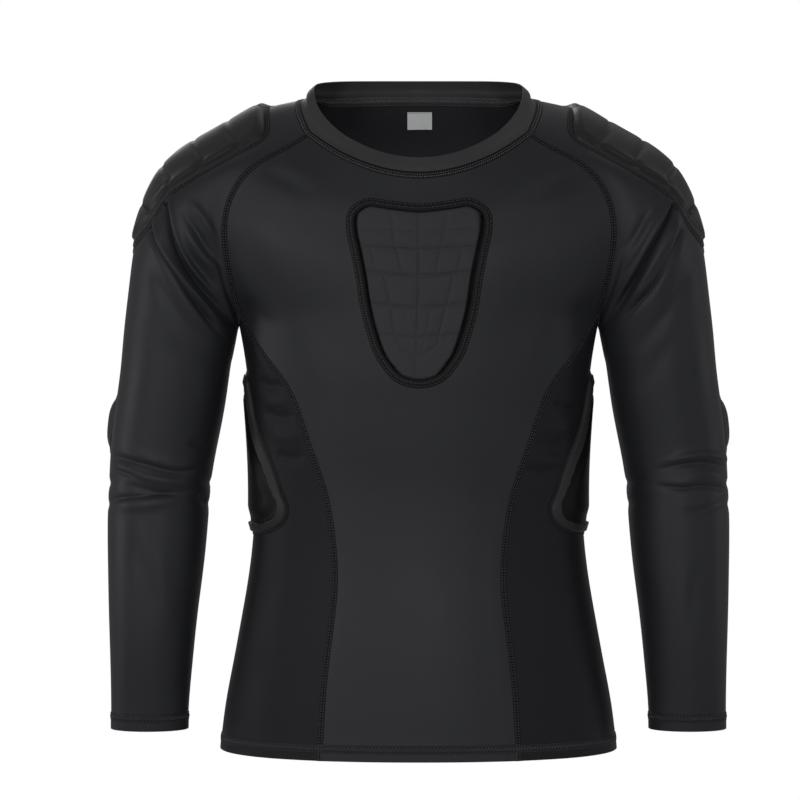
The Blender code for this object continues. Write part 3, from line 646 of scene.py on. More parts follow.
# pieces, view, shape, height mm, width mm at the head and the tail, how far the
# fold runs before it is full and how long it dies away (shares), path
RAGLAN_R = ("sleeve_right", "front_panel")
FOLDS = [
    # wearer's right sleeve: two sharp creases from the end of the shoulder pad
    # to the armpit, a ridge between them, and finer pulls nearer the seam
    (("sleeve_right",), "front", "crease left", 4.9, 3.0, 4.2, 0.06, 0.40,
     [photo(163, 186), photo(166, 212), photo(172, 240), photo(184, 266), photo(206, 294), photo(228, 318)]),
    (("sleeve_right",), "front", "crease left", 5.66, 3.2, 4.6, 0.08, 0.35,
     [photo(147, 210), photo(152, 232), photo(160, 252), photo(181, 284), photo(207, 318), photo(232, 347)]),
    (("sleeve_right",), "front", "rise", 3.25, 4.2, 5.4, 0.2, 0.45,
     [photo(157, 212), photo(165, 246), photo(182, 276), photo(208, 308), photo(230, 334)]),
    (("sleeve_right",), "front", "rise", 2.89, 3.2, 4.0, 0.35, 0.4,
     [photo(187, 197), photo(202, 216), photo(214, 236), photo(222, 252)]),
    (("sleeve_right",), "front", "dip", 2.68, 3.0, 3.6, 0.35, 0.4,
     [photo(180, 206), photo(194, 228), photo(208, 250), photo(224, 268)]),
    (("sleeve_right",), "front", "rise", 2.89, 3.0, 4.2, 0.35, 0.4,
     [photo(184, 226), photo(196, 246), photo(208, 262), photo(226, 276)]),
    (("sleeve_right",), "front", "dip", 2.3, 3.4, 4.6, 0.4, 0.4,
     [photo(180, 240), photo(194, 262), photo(210, 280), photo(229, 296)]),
    (("sleeve_right",), "front", "dip", 2.22, 5.0, 6.5, 0.3, 0.5,
     [photo(146, 258), photo(164, 292), photo(190, 330), photo(218, 360)]),
    (("sleeve_right",), "front", "dip", 1.18, 6.0, 7.0, 0.4, 0.5,
     [photo(160, 330), photo(186, 372), photo(206, 410)]),
    # wearer's left sleeve, two creases from the pad's end to the armpit
    (("sleeve_left",), "front", "crease right", 4.9, 3.0, 4.4, 0.06, 0.40,
     [photo(679, 192), photo(670, 214), photo(655, 243), photo(638, 274), photo(620, 304), photo(606, 326)]),
    (("sleeve_left",), "front", "crease right", 4.15, 3.2, 4.6, 0.12, 0.45,
     [photo(684, 220), photo(672, 256), photo(654, 286), photo(634, 308), photo(612, 334)]),
    (("sleeve_left",), "front", "rise", 3.25, 4.0, 5.0, 0.2, 0.45,
     [photo(683, 204), photo(668, 238), photo(650, 270), photo(632, 296), photo(610, 326)]),
    (("sleeve_left",), "front", "rise", 2.3, 3.8, 4.6, 0.3, 0.45,
     [photo(664, 200), photo(650, 226), photo(634, 254), photo(618, 278)]),
    (("sleeve_left",), "front", "dip", 1.91, 3.4, 4.0, 0.3, 0.5,
     [photo(652, 204), photo(638, 232), photo(620, 258)]),
    (("sleeve_left",), "front", "dip", 2.06, 5.0, 6.5, 0.3, 0.5,
     [photo(692, 262), photo(676, 298), photo(650, 334), photo(624, 362)]),
    (("sleeve_left",), "front", "dip", 1.18, 6.0, 7.0, 0.4, 0.5,
     [photo(676, 334), photo(650, 374), photo(632, 410)]),
    # chest, pulls that run in from the raglan seams
    (("front_panel",), "front", "rise", 1.2, 6.0, 9.0, 0.25, 0.6,
     [photo(268, 156), photo(300, 170), photo(340, 190)]),
    (("front_panel",), "front", "dip", 1.1, 5.0, 8.0, 0.25, 0.6,
     [photo(258, 168), photo(288, 182), photo(322, 202)]),
    (("front_panel",), "front", "rise", 1.2, 6.0, 9.0, 0.25, 0.6,
     [photo(576, 156), photo(546, 174), photo(512, 192)]),
    (("front_panel",), "front", "dip", 1.5, 5.0, 8.0, 0.2, 0.6,
     [photo(582, 166), photo(554, 184), photo(518, 202)]),
    (("front_panel",), "front", "rise", 0.8, 5.0, 7.0, 0.3, 0.6,
     [photo(590, 186), photo(566, 200), photo(534, 214)]),
    (("front_panel",), "front", "dip", 1.4, 8.0, 11.0, 0.2, 0.6,
     [photo(238, 300), photo(262, 318), photo(296, 330)]),
    (("front_panel",), "front", "dip", 1.4, 8.0, 11.0, 0.2, 0.6,
     [photo(600, 296), photo(574, 316), photo(540, 328)]),
    # wearer's right elbow
    (("sleeve_right",), "front", "crease left", 2.2, 4.2, 3.7, 0.2, 0.45,
     [photo(104, 453), photo(124, 459), photo(142, 464), photo(179, 472), photo(214, 464)]),
    (("sleeve_right",), "front", "rise", 2.1, 3.2, 3.6, 0.4, 0.5,
     [photo(114, 470), photo(144, 477), photo(190, 484), photo(212, 481)]),
    (("sleeve_right",), "front", "crease left", 1.9, 3.2, 3.4, 0.35, 0.6,
     [photo(106, 468), photo(121, 472), photo(135, 477), photo(150, 484)]),
    (("sleeve_right",), "front", "dip", 2.1, 2.8, 3.2, 0.3, 0.5,
     [photo(118, 482), photo(146, 490), photo(178, 494), photo(198, 491)]),
    (("sleeve_right",), "front", "crease right", 1.8, 3.0, 3.4, 0.2, 0.5,
     [photo(107, 500), photo(130, 497), photo(152, 495), photo(191, 491)]),
    (("sleeve_right",), "front", "rise", 1.5, 3.2, 3.4, 0.3, 0.5,
     [photo(112, 508), photo(152, 505), photo(184, 500)]),
    (("sleeve_right",), "front", "dip", 1.5, 3.0, 3.0, 0.4, 0.4,
     [photo(196, 495), photo(204, 499), photo(210, 503)]),
    (("sleeve_right",), "front", "dip", 1.35, 4.0, 4.0, 0.4, 0.4,
     [photo(186, 440), photo(204, 448), photo(216, 446)]),
    # wearer's left elbow
    (("sleeve_left",), "front", "rise", 2.1, 3.4, 3.8, 0.5, 0.2,
     [photo(662, 463), photo(690, 456), photo(706, 454), photo(732, 460)]),
    (("sleeve_left",), "front", "crease left", 2.0, 3.8, 4.2, 0.45, 0.15,
     [photo(652, 471), photo(680, 465), photo(704, 463), photo(732, 468)]),
    (("sleeve_left",), "front", "rise", 1.8, 2.8, 3.2, 0.45, 0.2,
     [photo(680, 479), photo(706, 474), photo(732, 480)]),
    (("sleeve_left",), "front", "crease left", 2.1, 3.0, 3.7, 0.45, 0.15,
     [photo(650, 485), photo(682, 488), photo(704, 486), photo(732, 490)]),
    (("sleeve_left",), "front", "dip", 1.65, 3.0, 3.4, 0.45, 0.2,
     [photo(676, 513), photo(700, 511), photo(728, 502)]),
    # forearms, faint pulls
    (("sleeve_right",), "front", "dip", 0.9, 6.0, 7.0, 0.4, 0.4,
     [photo(128, 530), photo(146, 580), photo(152, 640)]),
    (("sleeve_right",), "front", "rise", 0.7, 6.0, 7.0, 0.4, 0.4,
     [photo(150, 540), photo(166, 590), photo(170, 650)]),
    (("sleeve_left",), "front", "dip", 0.9, 6.0, 7.0, 0.4, 0.4,
     [photo(708, 536), photo(694, 590), photo(690, 650)]),
    # side panels, small gathers between the seam and the rib pad
    (("side_panel_right",), "front", "dip", 1.55, 3.8, 5.0, 0.25, 0.3,
     [photo(254, 378), photo(270, 386), photo(286, 384)]),
    (("side_panel_right",), "front", "dip", 1.55, 3.8, 5.0, 0.25, 0.3,
     [photo(262, 410), photo(280, 418), photo(298, 414)]),
    (("side_panel_right",), "front", "dip", 1.55, 4.0, 5.0, 0.25, 0.3,
     [photo(274, 452), photo(290, 459), photo(308, 454)]),
    (("side_panel_right",), "front", "rise", 1.01, 4.6, 5.0, 0.3, 0.3,
     [photo(258, 396), photo(276, 402), photo(294, 398)]),
    (("side_panel_right",), "front", "rise", 0.93, 4.6, 5.0, 0.3, 0.3,
     [photo(270, 432), photo(288, 438), photo(306, 432)]),
    (("side_panel_left",), "front", "dip", 1.92, 4.0, 5.0, 0.25, 0.3,
     [photo(552, 402), photo(566, 410), photo(582, 406)]),
    (("side_panel_left",), "front", "dip", 2.5, 5.0, 6.0, 0.2, 0.3,
     [photo(532, 440), photo(548, 448), photo(568, 446)]),
    (("side_panel_left",), "front", "dip", 1.74, 4.0, 5.0, 0.25, 0.3,
     [photo(522, 468), photo(540, 474), photo(558, 470)]),
    (("side_panel_left",), "front", "rise", 1.35, 4.6, 5.0, 0.3, 0.3,
     [photo(540, 424), photo(558, 430), photo(576, 424)]),
    (("side_panel_left",), "front", "rise", 1.05, 4.6, 5.0, 0.3, 0.3,
     [photo(524, 456), photo(544, 461), photo(562, 458)]),
    (("front_panel", "side_panel_right"), "front", "dip", 0.5, 9.0, 12.0, 0.3, 0.5,
     [photo(250, 600), photo(268, 640), photo(276, 690)]),
    (("front_panel", "side_panel_left"), "front", "dip", 0.5, 9.0, 12.0, 0.3, 0.5,
     [photo(590, 600), photo(572, 646), photo(562, 700)]),
    # back, similar pulls from the armholes and across the small of the back
    (("back_panel",), "back", "dip", 2.1, 6.0, 9.0, 0.2, 0.6,
     [(-140, -150), (-112, -172), (-76, -186)]),
    (("back_panel",), "back", "rise", 1.8, 6.0, 9.0, 0.2, 0.6,
     [(-142, -166), (-116, -190), (-84, -206)]),
    (("back_panel",), "back", "dip", 1.95, 6.0, 9.0, 0.2, 0.6,
     [(140, -144), (110, -168), (70, -180)]),
    (("back_panel",), "back", "rise", 1.65, 6.0, 9.0, 0.2, 0.6,
     [(143, -162), (118, -186), (88, -200)]),
    (("back_panel",), "back", "dip", 1.5, 8.0, 9.0, 0.4, 0.4,
     [(-58, -322), (-10, -333), (44, -326)]),
    (("back_panel",), "back", "dip", 1.35, 8.0, 9.0, 0.4, 0.4,
     [(-36, -352), (14, -360), (60, -350)]),
    (("sleeve_right",), "back", "crease right", 2.2, 3.2, 4.6, 0.15, 0.45,
     [(-222, -120), (-206, -160), (-184, -192), (-162, -214)]),
    (("sleeve_right",), "back", "rise", 1.7, 4.2, 5.0, 0.2, 0.45,
     [(-230, -134), (-214, -174), (-192, -208), (-168, -232)]),
    (("sleeve_right",), "back", "dip", 1.6, 4.0, 5.0, 0.2, 0.5,
     [(-238, -156), (-222, -194), (-202, -226), (-176, -252)]),
    (("sleeve_left",), "back", "crease left", 2.1, 3.2, 4.6, 0.15, 0.45,
     [(224, -114), (205, -154), (186, -188), (163, -210)]),
    (("sleeve_left",), "back", "rise", 1.6, 4.2, 5.0, 0.2, 0.45,
     [(231, -130), (213, -168), (194, -204), (169, -228)]),
    (("sleeve_left",), "back", "dip", 1.5, 4.0, 5.0, 0.2, 0.5,
     [(239, -150), (224, -190), (204, -222), (179, -246)]),
    (("sleeve_right",), "back", "dip", 1.4, 3.4, 3.6, 0.3, 0.4,
     [(-256, -326), (-226, -334), (-192, -328)]),
    (("sleeve_right",), "back", "rise", 1.2, 3.6, 3.6, 0.3, 0.4,
     [(-254, -336), (-224, -344), (-194, -339)]),
    (("sleeve_left",), "back", "dip", 1.4, 3.4, 3.6, 0.3, 0.4,
     [(256, -324), (228, -331), (194, -326)]),
    (("sleeve_left",), "back", "rise", 1.2, 3.6, 3.6, 0.3, 0.4,
     [(254, -334), (226, -342), (196, -336)]),
    (("sleeve_left", "sleeve_right"), "outer", "dip", 1.3, 3.4, 3.6, 0.3, 0.4,
     [(-30, -322), (0, -330), (34, -325)]),
    (("sleeve_left", "sleeve_right"), "outer", "dip", 1.1, 3.4, 3.6, 0.3, 0.4,
     [(-34, -340), (2, -348), (30, -342)]),
    (("side_panel_left", "side_panel_right"), "outer", "dip", 1.3, 4.0, 5.0, 0.3, 0.3,
     [(22, -250), (40, -258), (58, -254)]),
    (("side_panel_left", "side_panel_right"), "outer", "dip", 1.3, 4.0, 5.0, 0.3, 0.3,
     [(30, -284), (46, -292), (62, -288)]),
]


def fold_field(V, N, piece_of_point, rows):
    """Height of all folds at each point, in mm."""
    H = np.zeros(len(V))
    cache = {}
    for pieces, view, shape, height, w0, w1, head, tail, path in rows:
        if view not in cache:
            cache[view] = view_of(view, V, N)
        P2, facing = cache[view]
        line = smooth_path(path)
        lo, hi = line.min(0) - 3.2 * max(w0, w1), line.max(0) + 3.2 * max(w0, w1)
        on = np.zeros(len(V), dtype=bool)
        for name in pieces:
            on |= piece_of_point[:, PIECES.index(name)]
        on &= ((P2 > lo) & (P2 < hi)).all(1) & (facing > 0)
        idx = np.nonzero(on)[0]
        if not len(idx):
            continue
        t, s, d = measure(P2[idx], line)
        w = w0 + (w1 - w0) * t
        ends = smoothstep(0.0, head, t) * (1 - smoothstep(1 - tail, 1.0, t))
        soft = np.exp(-(d / w) ** 2)
        if shape == "rise":
            h = soft
        elif shape == "dip":
            h = -soft
        else:
            # a crease: a narrow V in a soft trough, the cloth rolled over it on
            # one side ("left" or "right" of the path's way)
            side = s if shape == "crease left" else -s
            h = (-0.50 * soft - 0.50 * np.exp(-np.abs(d / (0.50 * w)) ** 1.6)
                 + 0.55 * np.exp(-((side - 1.25 * w) / (0.75 * w)) ** 2))
        H[idx] += height * h * ends * facing[idx]
    return H


# =====================================================================
# Making meshes
# =====================================================================
def new_mesh(name, V, faces, material, smooth=True, sharp=None):
    me = bpy.data.meshes.new(name)
    me.from_pydata((np.asarray(V) * MM).tolist(), [],
                   faces.tolist() if hasattr(faces, "tolist") else faces)
    me.update()
    ob = bpy.data.objects.new(name, me)
    bpy.context.scene.collection.objects.link(ob)
    me.materials.append(material)
    if smooth:
        me.shade_smooth()
        if sharp is not None:
            me.set_sharp_from_angle(angle=math.radians(sharp))
    return ob


WALL_LOOK = 1.1        # thickness of the shells, mm


def chains(edges):
    """Join edges into lines of points; a loop repeats its first point."""
    near = {}
    for a, b in edges:
        near.setdefault(a, []).append(b)
        near.setdefault(b, []).append(a)
    left = {frozenset(e) for e in edges}
    out = []
    starts = sorted(v for v, n in near.items() if len(n) != 2) + sorted(near)
    for s in starts:
        for nxt in sorted(near[s]):
            if frozenset((s, nxt)) not in left:
                continue
            line = [s]
            prev, cur = s, nxt
            while True:
                left.discard(frozenset((prev, cur)))
                line.append(cur)
                options = [w for w in near[cur] if frozenset((cur, w)) in left]
                if len(near[cur]) != 2 or not options:
                    break
                prev, cur = cur, options[0]
            out.append(line)
    return out


def resample(P, N, step, closed=False, smooth=2):
    P, N = np.array(P, dtype=float), np.array(N, dtype=float)
    for _ in range(smooth):
        if closed:
            core = P[:-1]
            core = (np.roll(core, 1, 0) + 2 * core + np.roll(core, -1, 0)) / 4
            P = np.concatenate([core, core[:1]])
        else:
            P[1:-1] = (P[:-2] + 2 * P[1:-1] + P[2:]) / 4
    run = np.concatenate([[0], np.cumsum(np.linalg.norm(np.diff(P, axis=0), axis=1))])
    n = max(2, int(round(run[-1] / step)))
    s = np.linspace(0, run[-1], n + 1)
    p = np.stack([np.interp(s, run, P[:, k]) for k in range(3)], 1)
    m = unit(np.stack([np.interp(s, run, N[:, k]) for k in range(3)], 1))
    return p, m


def side_of(P, N, closed=False):
    if closed:
        T = np.roll(P[:-1], -1, 0) - np.roll(P[:-1], 1, 0)
        T = np.concatenate([T, T[:1]])
    else:
        T = np.gradient(P, axis=0)
    T = unit(T)
    return T, unit(np.cross(N, T))


def ribbon(name, skin, P, N, profile, material, closed=False, inside=0.0):
    """A band along a path: profile rows are offset across and height."""
    T, B = side_of(P, N, closed)
    rows = []
    for off, high in profile:
        q, m = skin.near(P + B * off)
        if inside:
            q, m = q - m * inside, -m
        rows.append(q + m * high)
    k = len(P) - (1 if closed else 0)
    V = np.concatenate([r[:k] for r in rows])
    faces = []
    span = k if closed else k - 1
    for r in range(len(rows) - 1):
        i = np.arange(span)
        j = (i + 1) % k
        faces.append(np.stack([r * k + i, r * k + j, (r + 1) * k + j, (r + 1) * k + i], 1))
    # underside, so that the band is closed
    i = np.arange(span)
    j = (i + 1) % k
    last = (len(rows) - 1) * k
    faces.append(np.stack([last + i, last + j, 0 + j, 0 + i], 1))
    faces = np.concatenate(faces).tolist()
    if not closed:
        faces.append([r * k for r in range(len(rows))][::-1])
        faces.append([r * k + k - 1 for r in range(len(rows))])
    V, faces = V, faces
    ob = new_mesh(name, V, faces, material)
    fix_out(ob, N_hint=None)
    return ob


def fix_out(ob, N_hint=None):
    """Turn the faces out if the closed mesh is inside out."""
    me = ob.data
    me.calc_loop_triangles()
    co = np.empty(len(me.vertices) * 3)
    me.vertices.foreach_get("co", co)
    co = co.reshape(-1, 3)
    t = np.empty(len(me.loop_triangles) * 3, dtype=np.int32)
    me.loop_triangles.foreach_get("vertices", t)
    t = t.reshape(-1, 3)
    vol = (co[t[:, 0]] * np.cross(co[t[:, 1]], co[t[:, 2]])).sum() / 6
    if vol < 0:
        me.flip_normals()


def threads(P0, P1, N, width, height, lift=0.0):
    """Small closed stitches from P0 to P1, rounded on top.  Arrays in, arrays out."""
    T = P1 - P0
    L = np.linalg.norm(T, axis=1)[:, None]
    T = T / np.maximum(L, 1e-9)
    S = unit(np.cross(N, T))
    rows = [P0 + N * (lift - 0.05)]
    for t in (0.25, 0.75):
        c = P0 + T * L * t + N * lift
        rows += [c + S * width / 2, c + N * height, c - S * width / 2, c - N * 0.12]
    rows.append(P1 + N * (lift - 0.05))
    V = np.stack(rows, 1)                       # k, 10, 3
    base = [(0, 2, 1), (0, 3, 2), (0, 4, 3), (0, 1, 4),
            (1, 2, 6, 5), (2, 3, 7, 6), (3, 4, 8, 7), (4, 1, 5, 8),
            (9, 5, 6), (9, 6, 7), (9, 7, 8), (9, 8, 5)]
    faces = []
    for k in range(len(V)):
        o = 10 * k
        for f in base:
            faces.append([v + o for v in f])
    return V.reshape(-1, 3), faces


class Stitches:
    """Collects stitches into one mesh."""

    def __init__(self):
        self.V, self.F, self.n = [], [], 0

    def add(self, P0, P1, N, width, height, lift=0.0):
        v, f = threads(P0, P1, N, width, height, lift)
        self.F += [[i + self.n for i in face] for face in f]
        self.V.append(v)
        self.n += len(v)

    def make(self, name, material):
        ob = new_mesh(name, np.concatenate(self.V), self.F, material, smooth=True)
        fix_out(ob)
        return ob


def at_offsets(skin, P, N, closed, offs, inside=0.0):
    """The path moved sideways by each offset, laid back on the skin."""
    T, B = side_of(P, N, closed)
    out = []
    for o in offs:
        q, m = skin.near(P + B * o)
        if inside:
            q, m = q - m * inside, -m
        out.append((q, m))
    return out


def braid(st, skin, P, N, closed, centre, half, pitch, width, height, lift=0.1, slant=1.0,
          inside=0.0):
    """A row of slanted stitches along a path."""
    (A, NA), (B, NB) = at_offsets(skin, P, N, closed, (centre - half, centre + half), inside)
    run = np.concatenate([[0], np.cumsum(np.linalg.norm(np.diff(P, axis=0), axis=1))])
    count = max(1, int(round(run[-1] / pitch)))
    pitch = run[-1] / count
    k = np.arange(count)
    s0 = (k + 0.10 * np.sin(k * 2.4) * np.sin(k * 0.37)) * pitch + 0.05 * pitch
    s0 = np.clip(s0, 0, run[-1])
    s1 = np.clip(s0 + slant * pitch, 0, run[-1])

    def pick(X, s):
        return np.stack([np.interp(s, run, X[:, k]) for k in range(3)], 1)

    st.add(pick(A, s0), pick(B, s1), unit(pick(NA, s0)), width, height, lift)


def row(st, skin, P, N, closed, centre, pitch, length, width, height, lift=0.1, inside=0.0):
    """A straight row of stitches along a path."""
    (A, NA), = at_offsets(skin, P, N, closed, (centre,), inside)
    run = np.concatenate([[0], np.cumsum(np.linalg.norm(np.diff(P, axis=0), axis=1))])
    count = max(1, int(round(run[-1] / pitch)))
    pitch = run[-1] / count
    s0 = np.arange(count) * pitch + 0.1 * pitch
    s1 = np.minimum(s0 + length, run[-1])

    def pick(X, s):
        return np.stack([np.interp(s, run, X[:, k]) for k in range(3)], 1)

    st.add(pick(A, s0), pick(A, s1), unit(pick(NA, s0)), width, height, lift)


def zigzag(st, skin, P, N, closed, centre, half, pitch, width, height, lift=0.1, inside=0.0):
    (A, NA), (B, NB) = at_offsets(skin, P, N, closed, (centre - half, centre + half), inside)
    run = np.concatenate([[0], np.cumsum(np.linalg.norm(np.diff(P, axis=0), axis=1))])
    count = max(1, int(round(run[-1] / pitch)))
    pitch = run[-1] / count
    s = np.arange(2 * count + 1) * pitch / 2

    def pick(X, s):
        return np.stack([np.interp(s, run, X[:, k]) for k in range(3)], 1)

    pa, pb, na = pick(A, s), pick(B, s), unit(pick(NA, s))
    even_, odd = np.arange(0, 2 * count, 2), np.arange(1, 2 * count, 2)
    st.add(pa[even_], pb[even_ + 1], na[even_], width, height, lift)
    st.add(pb[odd], pa[odd + 1], na[odd], width, height, lift)


# =====================================================================
# Materials
# =====================================================================
def node(tree, kind, **values):
    n = tree.nodes.new(kind)
    for key, value in values.items():
        if key in n.inputs:
            n.inputs[key].default_value = value
        else:
            setattr(n, key, value)
    return n


def fabric(name, colour, rough, sheen, grain_mm=(0.8, 0.8, 0.8), grain=0.25,
           mottle=0.10, spec=0.5, sheen_rough=0.4, fine=None):
    """Knit or woven cloth: grain in the bump, slow changes of tone, soft gloss."""
    m = bpy.data.materials.new(name)
    m.use_nodes = True
    t = m.node_tree
    b = t.nodes["Principled BSDF"]
    b.inputs["Roughness"].default_value = rough
    b.inputs["Sheen Weight"].default_value = sheen
    b.inputs["Sheen Roughness"].default_value = sheen_rough
    b.inputs["Sheen Tint"].default_value = (0.9, 0.92, 1.0, 1.0)
    b.inputs["Specular IOR Level"].default_value = spec
    co = node(t, "ShaderNodeTexCoord")
    size = node(t, "ShaderNodeMapping")
    size.inputs["Scale"].default_value = [1000.0 / g for g in grain_mm]
    t.links.new(co.outputs["Object"], size.inputs["Vector"])
    knit = node(t, "ShaderNodeTexNoise", Scale=1.0, Detail=2.0, Roughness=0.6)
    t.links.new(size.outputs["Vector"], knit.inputs["Vector"])
    slow = node(t, "ShaderNodeTexNoise", Scale=16.0, Detail=3.0, Roughness=0.55)
    t.links.new(co.outputs["Object"], slow.inputs["Vector"])
    # colour: slow mottle times a little of the grain
    tone = node(t, "ShaderNodeMapRange")
    tone.inputs["From Min"].default_value = 0.3
    tone.inputs["From Max"].default_value = 0.7
    tone.inputs["To Min"].default_value = 1.0 - mottle
    tone.inputs["To Max"].default_value = 1.0 + mottle
    t.links.new(slow.outputs["Fac"], tone.inputs["Value"])
    speck = node(t, "ShaderNodeMapRange")
    speck.inputs["From Min"].default_value = 0.3
    speck.inputs["From Max"].default_value = 0.7
    speck.inputs["To Min"].default_value = 0.86
    speck.inputs["To Max"].default_value = 1.14
    t.links.new(knit.outputs["Fac"], speck.inputs["Value"])
    both = node(t, "ShaderNodeMath", operation="MULTIPLY")
    t.links.new(tone.outputs["Result"], both.inputs[0])
    t.links.new(speck.outputs["Result"], both.inputs[1])
    mix = node(t, "ShaderNodeVectorMath", operation="SCALE")
    mix.inputs[0].default_value = colour
    t.links.new(both.outputs["Value"], mix.inputs["Scale"])
    t.links.new(mix.outputs["Vector"], b.inputs["Base Color"])
    # gloss changes slowly too
    dull = node(t, "ShaderNodeMapRange")
    dull.inputs["From Min"].default_value = 0.3
    dull.inputs["From Max"].default_value = 0.7
    dull.inputs["To Min"].default_value = rough - 0.04
    dull.inputs["To Max"].default_value = rough + 0.05
    t.links.new(slow.outputs["Fac"], dull.inputs["Value"])
    t.links.new(dull.outputs["Result"], b.inputs["Roughness"])
    bump = node(t, "ShaderNodeBump")
    bump.inputs["Strength"].default_value = grain
    bump.inputs["Distance"].default_value = 0.0002
    t.links.new(knit.outputs["Fac"], bump.inputs["Height"])
    t.links.new(bump.outputs["Normal"], b.inputs["Normal"])
    m.diffuse_color = (*colour, 1.0)
    return m


JERSEY = fabric("jersey_black", (0.0192, 0.0200, 0.0246), 0.49, 0.03, (0.7, 0.7, 1.3), 0.30, spec=0.31)
# the same black jersey made darker as painted shade, standing in for the arm's shadow and the sides turned from the
# light
SIDE_JERSEY_PAINTED_SHADE = fabric("jersey_side_painted_shade", (0.0120, 0.0125, 0.0152), 0.54, 0.02, (0.9, 0.9, 1.1), 0.35, spec=0.19)
BAND_JERSEY = fabric("jersey_band", (0.0440, 0.0440, 0.0465), 0.54, 0.04, (0.6, 0.6, 0.9), 0.35, spec=0.28)
HEM_CLOTH = fabric("hem_cloth", (0.0125, 0.0128, 0.0148), 0.56, 0.02, (0.5, 0.5, 0.5), 0.45, spec=0.22)
# dark cloth of the seam bands and bindings; also painted shade on the chest pad's faces in the gap under the rim
SEAM_CLOTH_AND_GAP_SHADE = fabric("seam_cloth_and_gap_shade", (0.0056, 0.0057, 0.0066), 0.60, 0.02, (0.5, 0.5, 0.5), 0.45, spec=0.18)
# the threads are black; their lighter colour is painted sheen standing in for the glints on the stitches, the
# lighter one on the neck's stitches
THREAD = fabric("thread", (0.058, 0.059, 0.065), 0.50, 0.05, (0.25, 0.25, 0.25), 0.4, spec=0.3)
THREAD_LIGHT = fabric("thread_light", (0.125, 0.127, 0.135), 0.48, 0.05, (0.25, 0.25, 0.25), 0.4, spec=0.3)
RIB_COVER = fabric("rib_cover", (0.0066, 0.0066, 0.0076), 0.50, 0.02, (0.8, 0.8, 0.8), 0.20, spec=0.16)
RIB_BORDER = fabric("rib_border", (0.0240, 0.0240, 0.0265), 0.52, 0.03, (0.8, 0.8, 0.8), 0.25, spec=0.28)
PAD_COVER = fabric("pad_cover", (0.0168, 0.0168, 0.0186), 0.46, 0.03, (0.8, 0.8, 0.8), 0.20, spec=0.32)
CHEST_COVER = fabric("chest_cover", (0.0350, 0.0350, 0.0395), 0.58, 0.05, (1.0, 1.0, 1.0), 0.35, spec=0.25)
SATIN = fabric("label_satin", (0.86, 0.87, 0.88), 0.36, 0.05, (0.35, 3.0, 0.16), 0.35, 0.03)

# =====================================================================
# The cloth
# =====================================================================
cage, rings = build_surface()
V0, Q, quad_piece = fine_surface(cage)

# the neckband's upper edge runs in one even curve across the centre front
NECK_EVEN = ((0.0, 0.56), (5.0, 0.33), (10.0, -0.17), (15.0, -0.60), (20.0, -0.62), (25.0, -0.42),
             (30.0, -0.15), (36.0, 0.0))
band_points = np.unique(Q[quad_piece == PIECES.index("neckband")])
band_points = band_points[(V0[band_points, 1] < -40) & (np.abs(V0[band_points, 0]) < 36)]
bx, bz = np.abs(V0[band_points, 0]), V0[band_points, 2]
low_z, top_z = -73.56 + 0.0044 * bx ** 2, -60.4 + 0.0056 * bx ** 2
V0[band_points, 2] += (np.interp(bx, [r[0] for r in NECK_EVEN], [r[1] for r in NECK_EVEN])
                       * np.clip((bz - low_z) / (top_z - low_z), 0, 1))
N0 = point_normals(V0, Q)

on_piece = np.zeros((len(V0), len(PIECES)), dtype=bool)
for k in range(4):
    on_piece[Q[:, k], quad_piece] = True

# edges with the quads that share them
E = np.concatenate([Q[:, [0, 1]], Q[:, [1, 2]], Q[:, [2, 3]], Q[:, [3, 0]]])
E_quad = np.tile(np.arange(len(Q)), 4)
code = np.sort(E, axis=1)
code = code[:, 0].astype(np.int64) * len(V0) + code[:, 1]
order = np.argsort(code, kind="stable")
code, E, E_quad = code[order], E[order], E_quad[order]
shared = {}
free = {}
i = 0
while i < len(code):
    if i + 1 < len(code) and code[i + 1] == code[i]:
        a, b = quad_piece[E_quad[i]], quad_piece[E_quad[i + 1]]
        if a != b:
            key = tuple(sorted((PIECES[a], PIECES[b])))
            shared.setdefault(key, []).append(tuple(int(v) for v in E[i]))
        i += 2
    else:
        free.setdefault(PIECES[quad_piece[E_quad[i]]], []).append(tuple(int(v) for v in E[i]))
        i += 1


def edges_between(*wanted):
    out = []
    for a, b in wanted:
        out += shared.get(tuple(sorted((a, b))), [])
    return out


def long_chains(edges, least=40.0):
    out = []
    for line in chains(edges):
        run = np.linalg.norm(np.diff(V0[line], axis=0), axis=1).sum()
        if run > least:
            out.append(line)
    return out


SEAMS = {}
for side in ("left", "right"):
    s_, p_ = "sleeve_" + side, "side_panel_" + side
    SEAMS["raglan_" + side] = long_chains(edges_between(
        (s_, "front_panel"), (s_, p_), (s_, "back_panel")))
    SEAMS["side_front_" + side] = long_chains(edges_between((p_, "front_panel")))
    SEAMS["side_back_" + side] = long_chains(edges_between((p_, "back_panel")))
SEAMS["neck"] = long_chains(edges_between(*[("neckband", n) for n in PIECES if n != "neckband"]))
EDGES = {
    "hem": long_chains(sum((free.get(n, []) for n in ("front_panel", "back_panel",
                            "side_panel_left", "side_panel_right")), [])),
    "cuff_left": long_chains(free["sleeve_left"]),
    "cuff_right": long_chains(free["sleeve_right"]),
    "neck_top": long_chains(free["neckband"]),
}
for name, lines in list(SEAMS.items()) + list(EDGES.items()):
    print("line", name, len(lines), [round(float(np.linalg.norm(np.diff(V0[l], axis=0), axis=1).sum()))
                                     for l in lines], [l[0] == l[-1] for l in lines])

# folds die out on the seams, which are stitched flat
from mathutils.kdtree import KDTree
seam_points = sorted({v for lines in SEAMS.values() for l in lines for v in l})
seam_tree = KDTree(len(seam_points))
for k, v in enumerate(seam_points):
    seam_tree.insert(V0[v].tolist(), k)
seam_tree.balance()


# and under the pads, which lie smooth on the cloth
def outline_points(half, n):
    full = [(a, b, 0) for a, b in half] + [(-a, b, 0) for a, b in half[-2:0:-1]]
    return np.array([(p.x, p.y) for p in along(full, [q / n for q in range(n)], closed=True)])


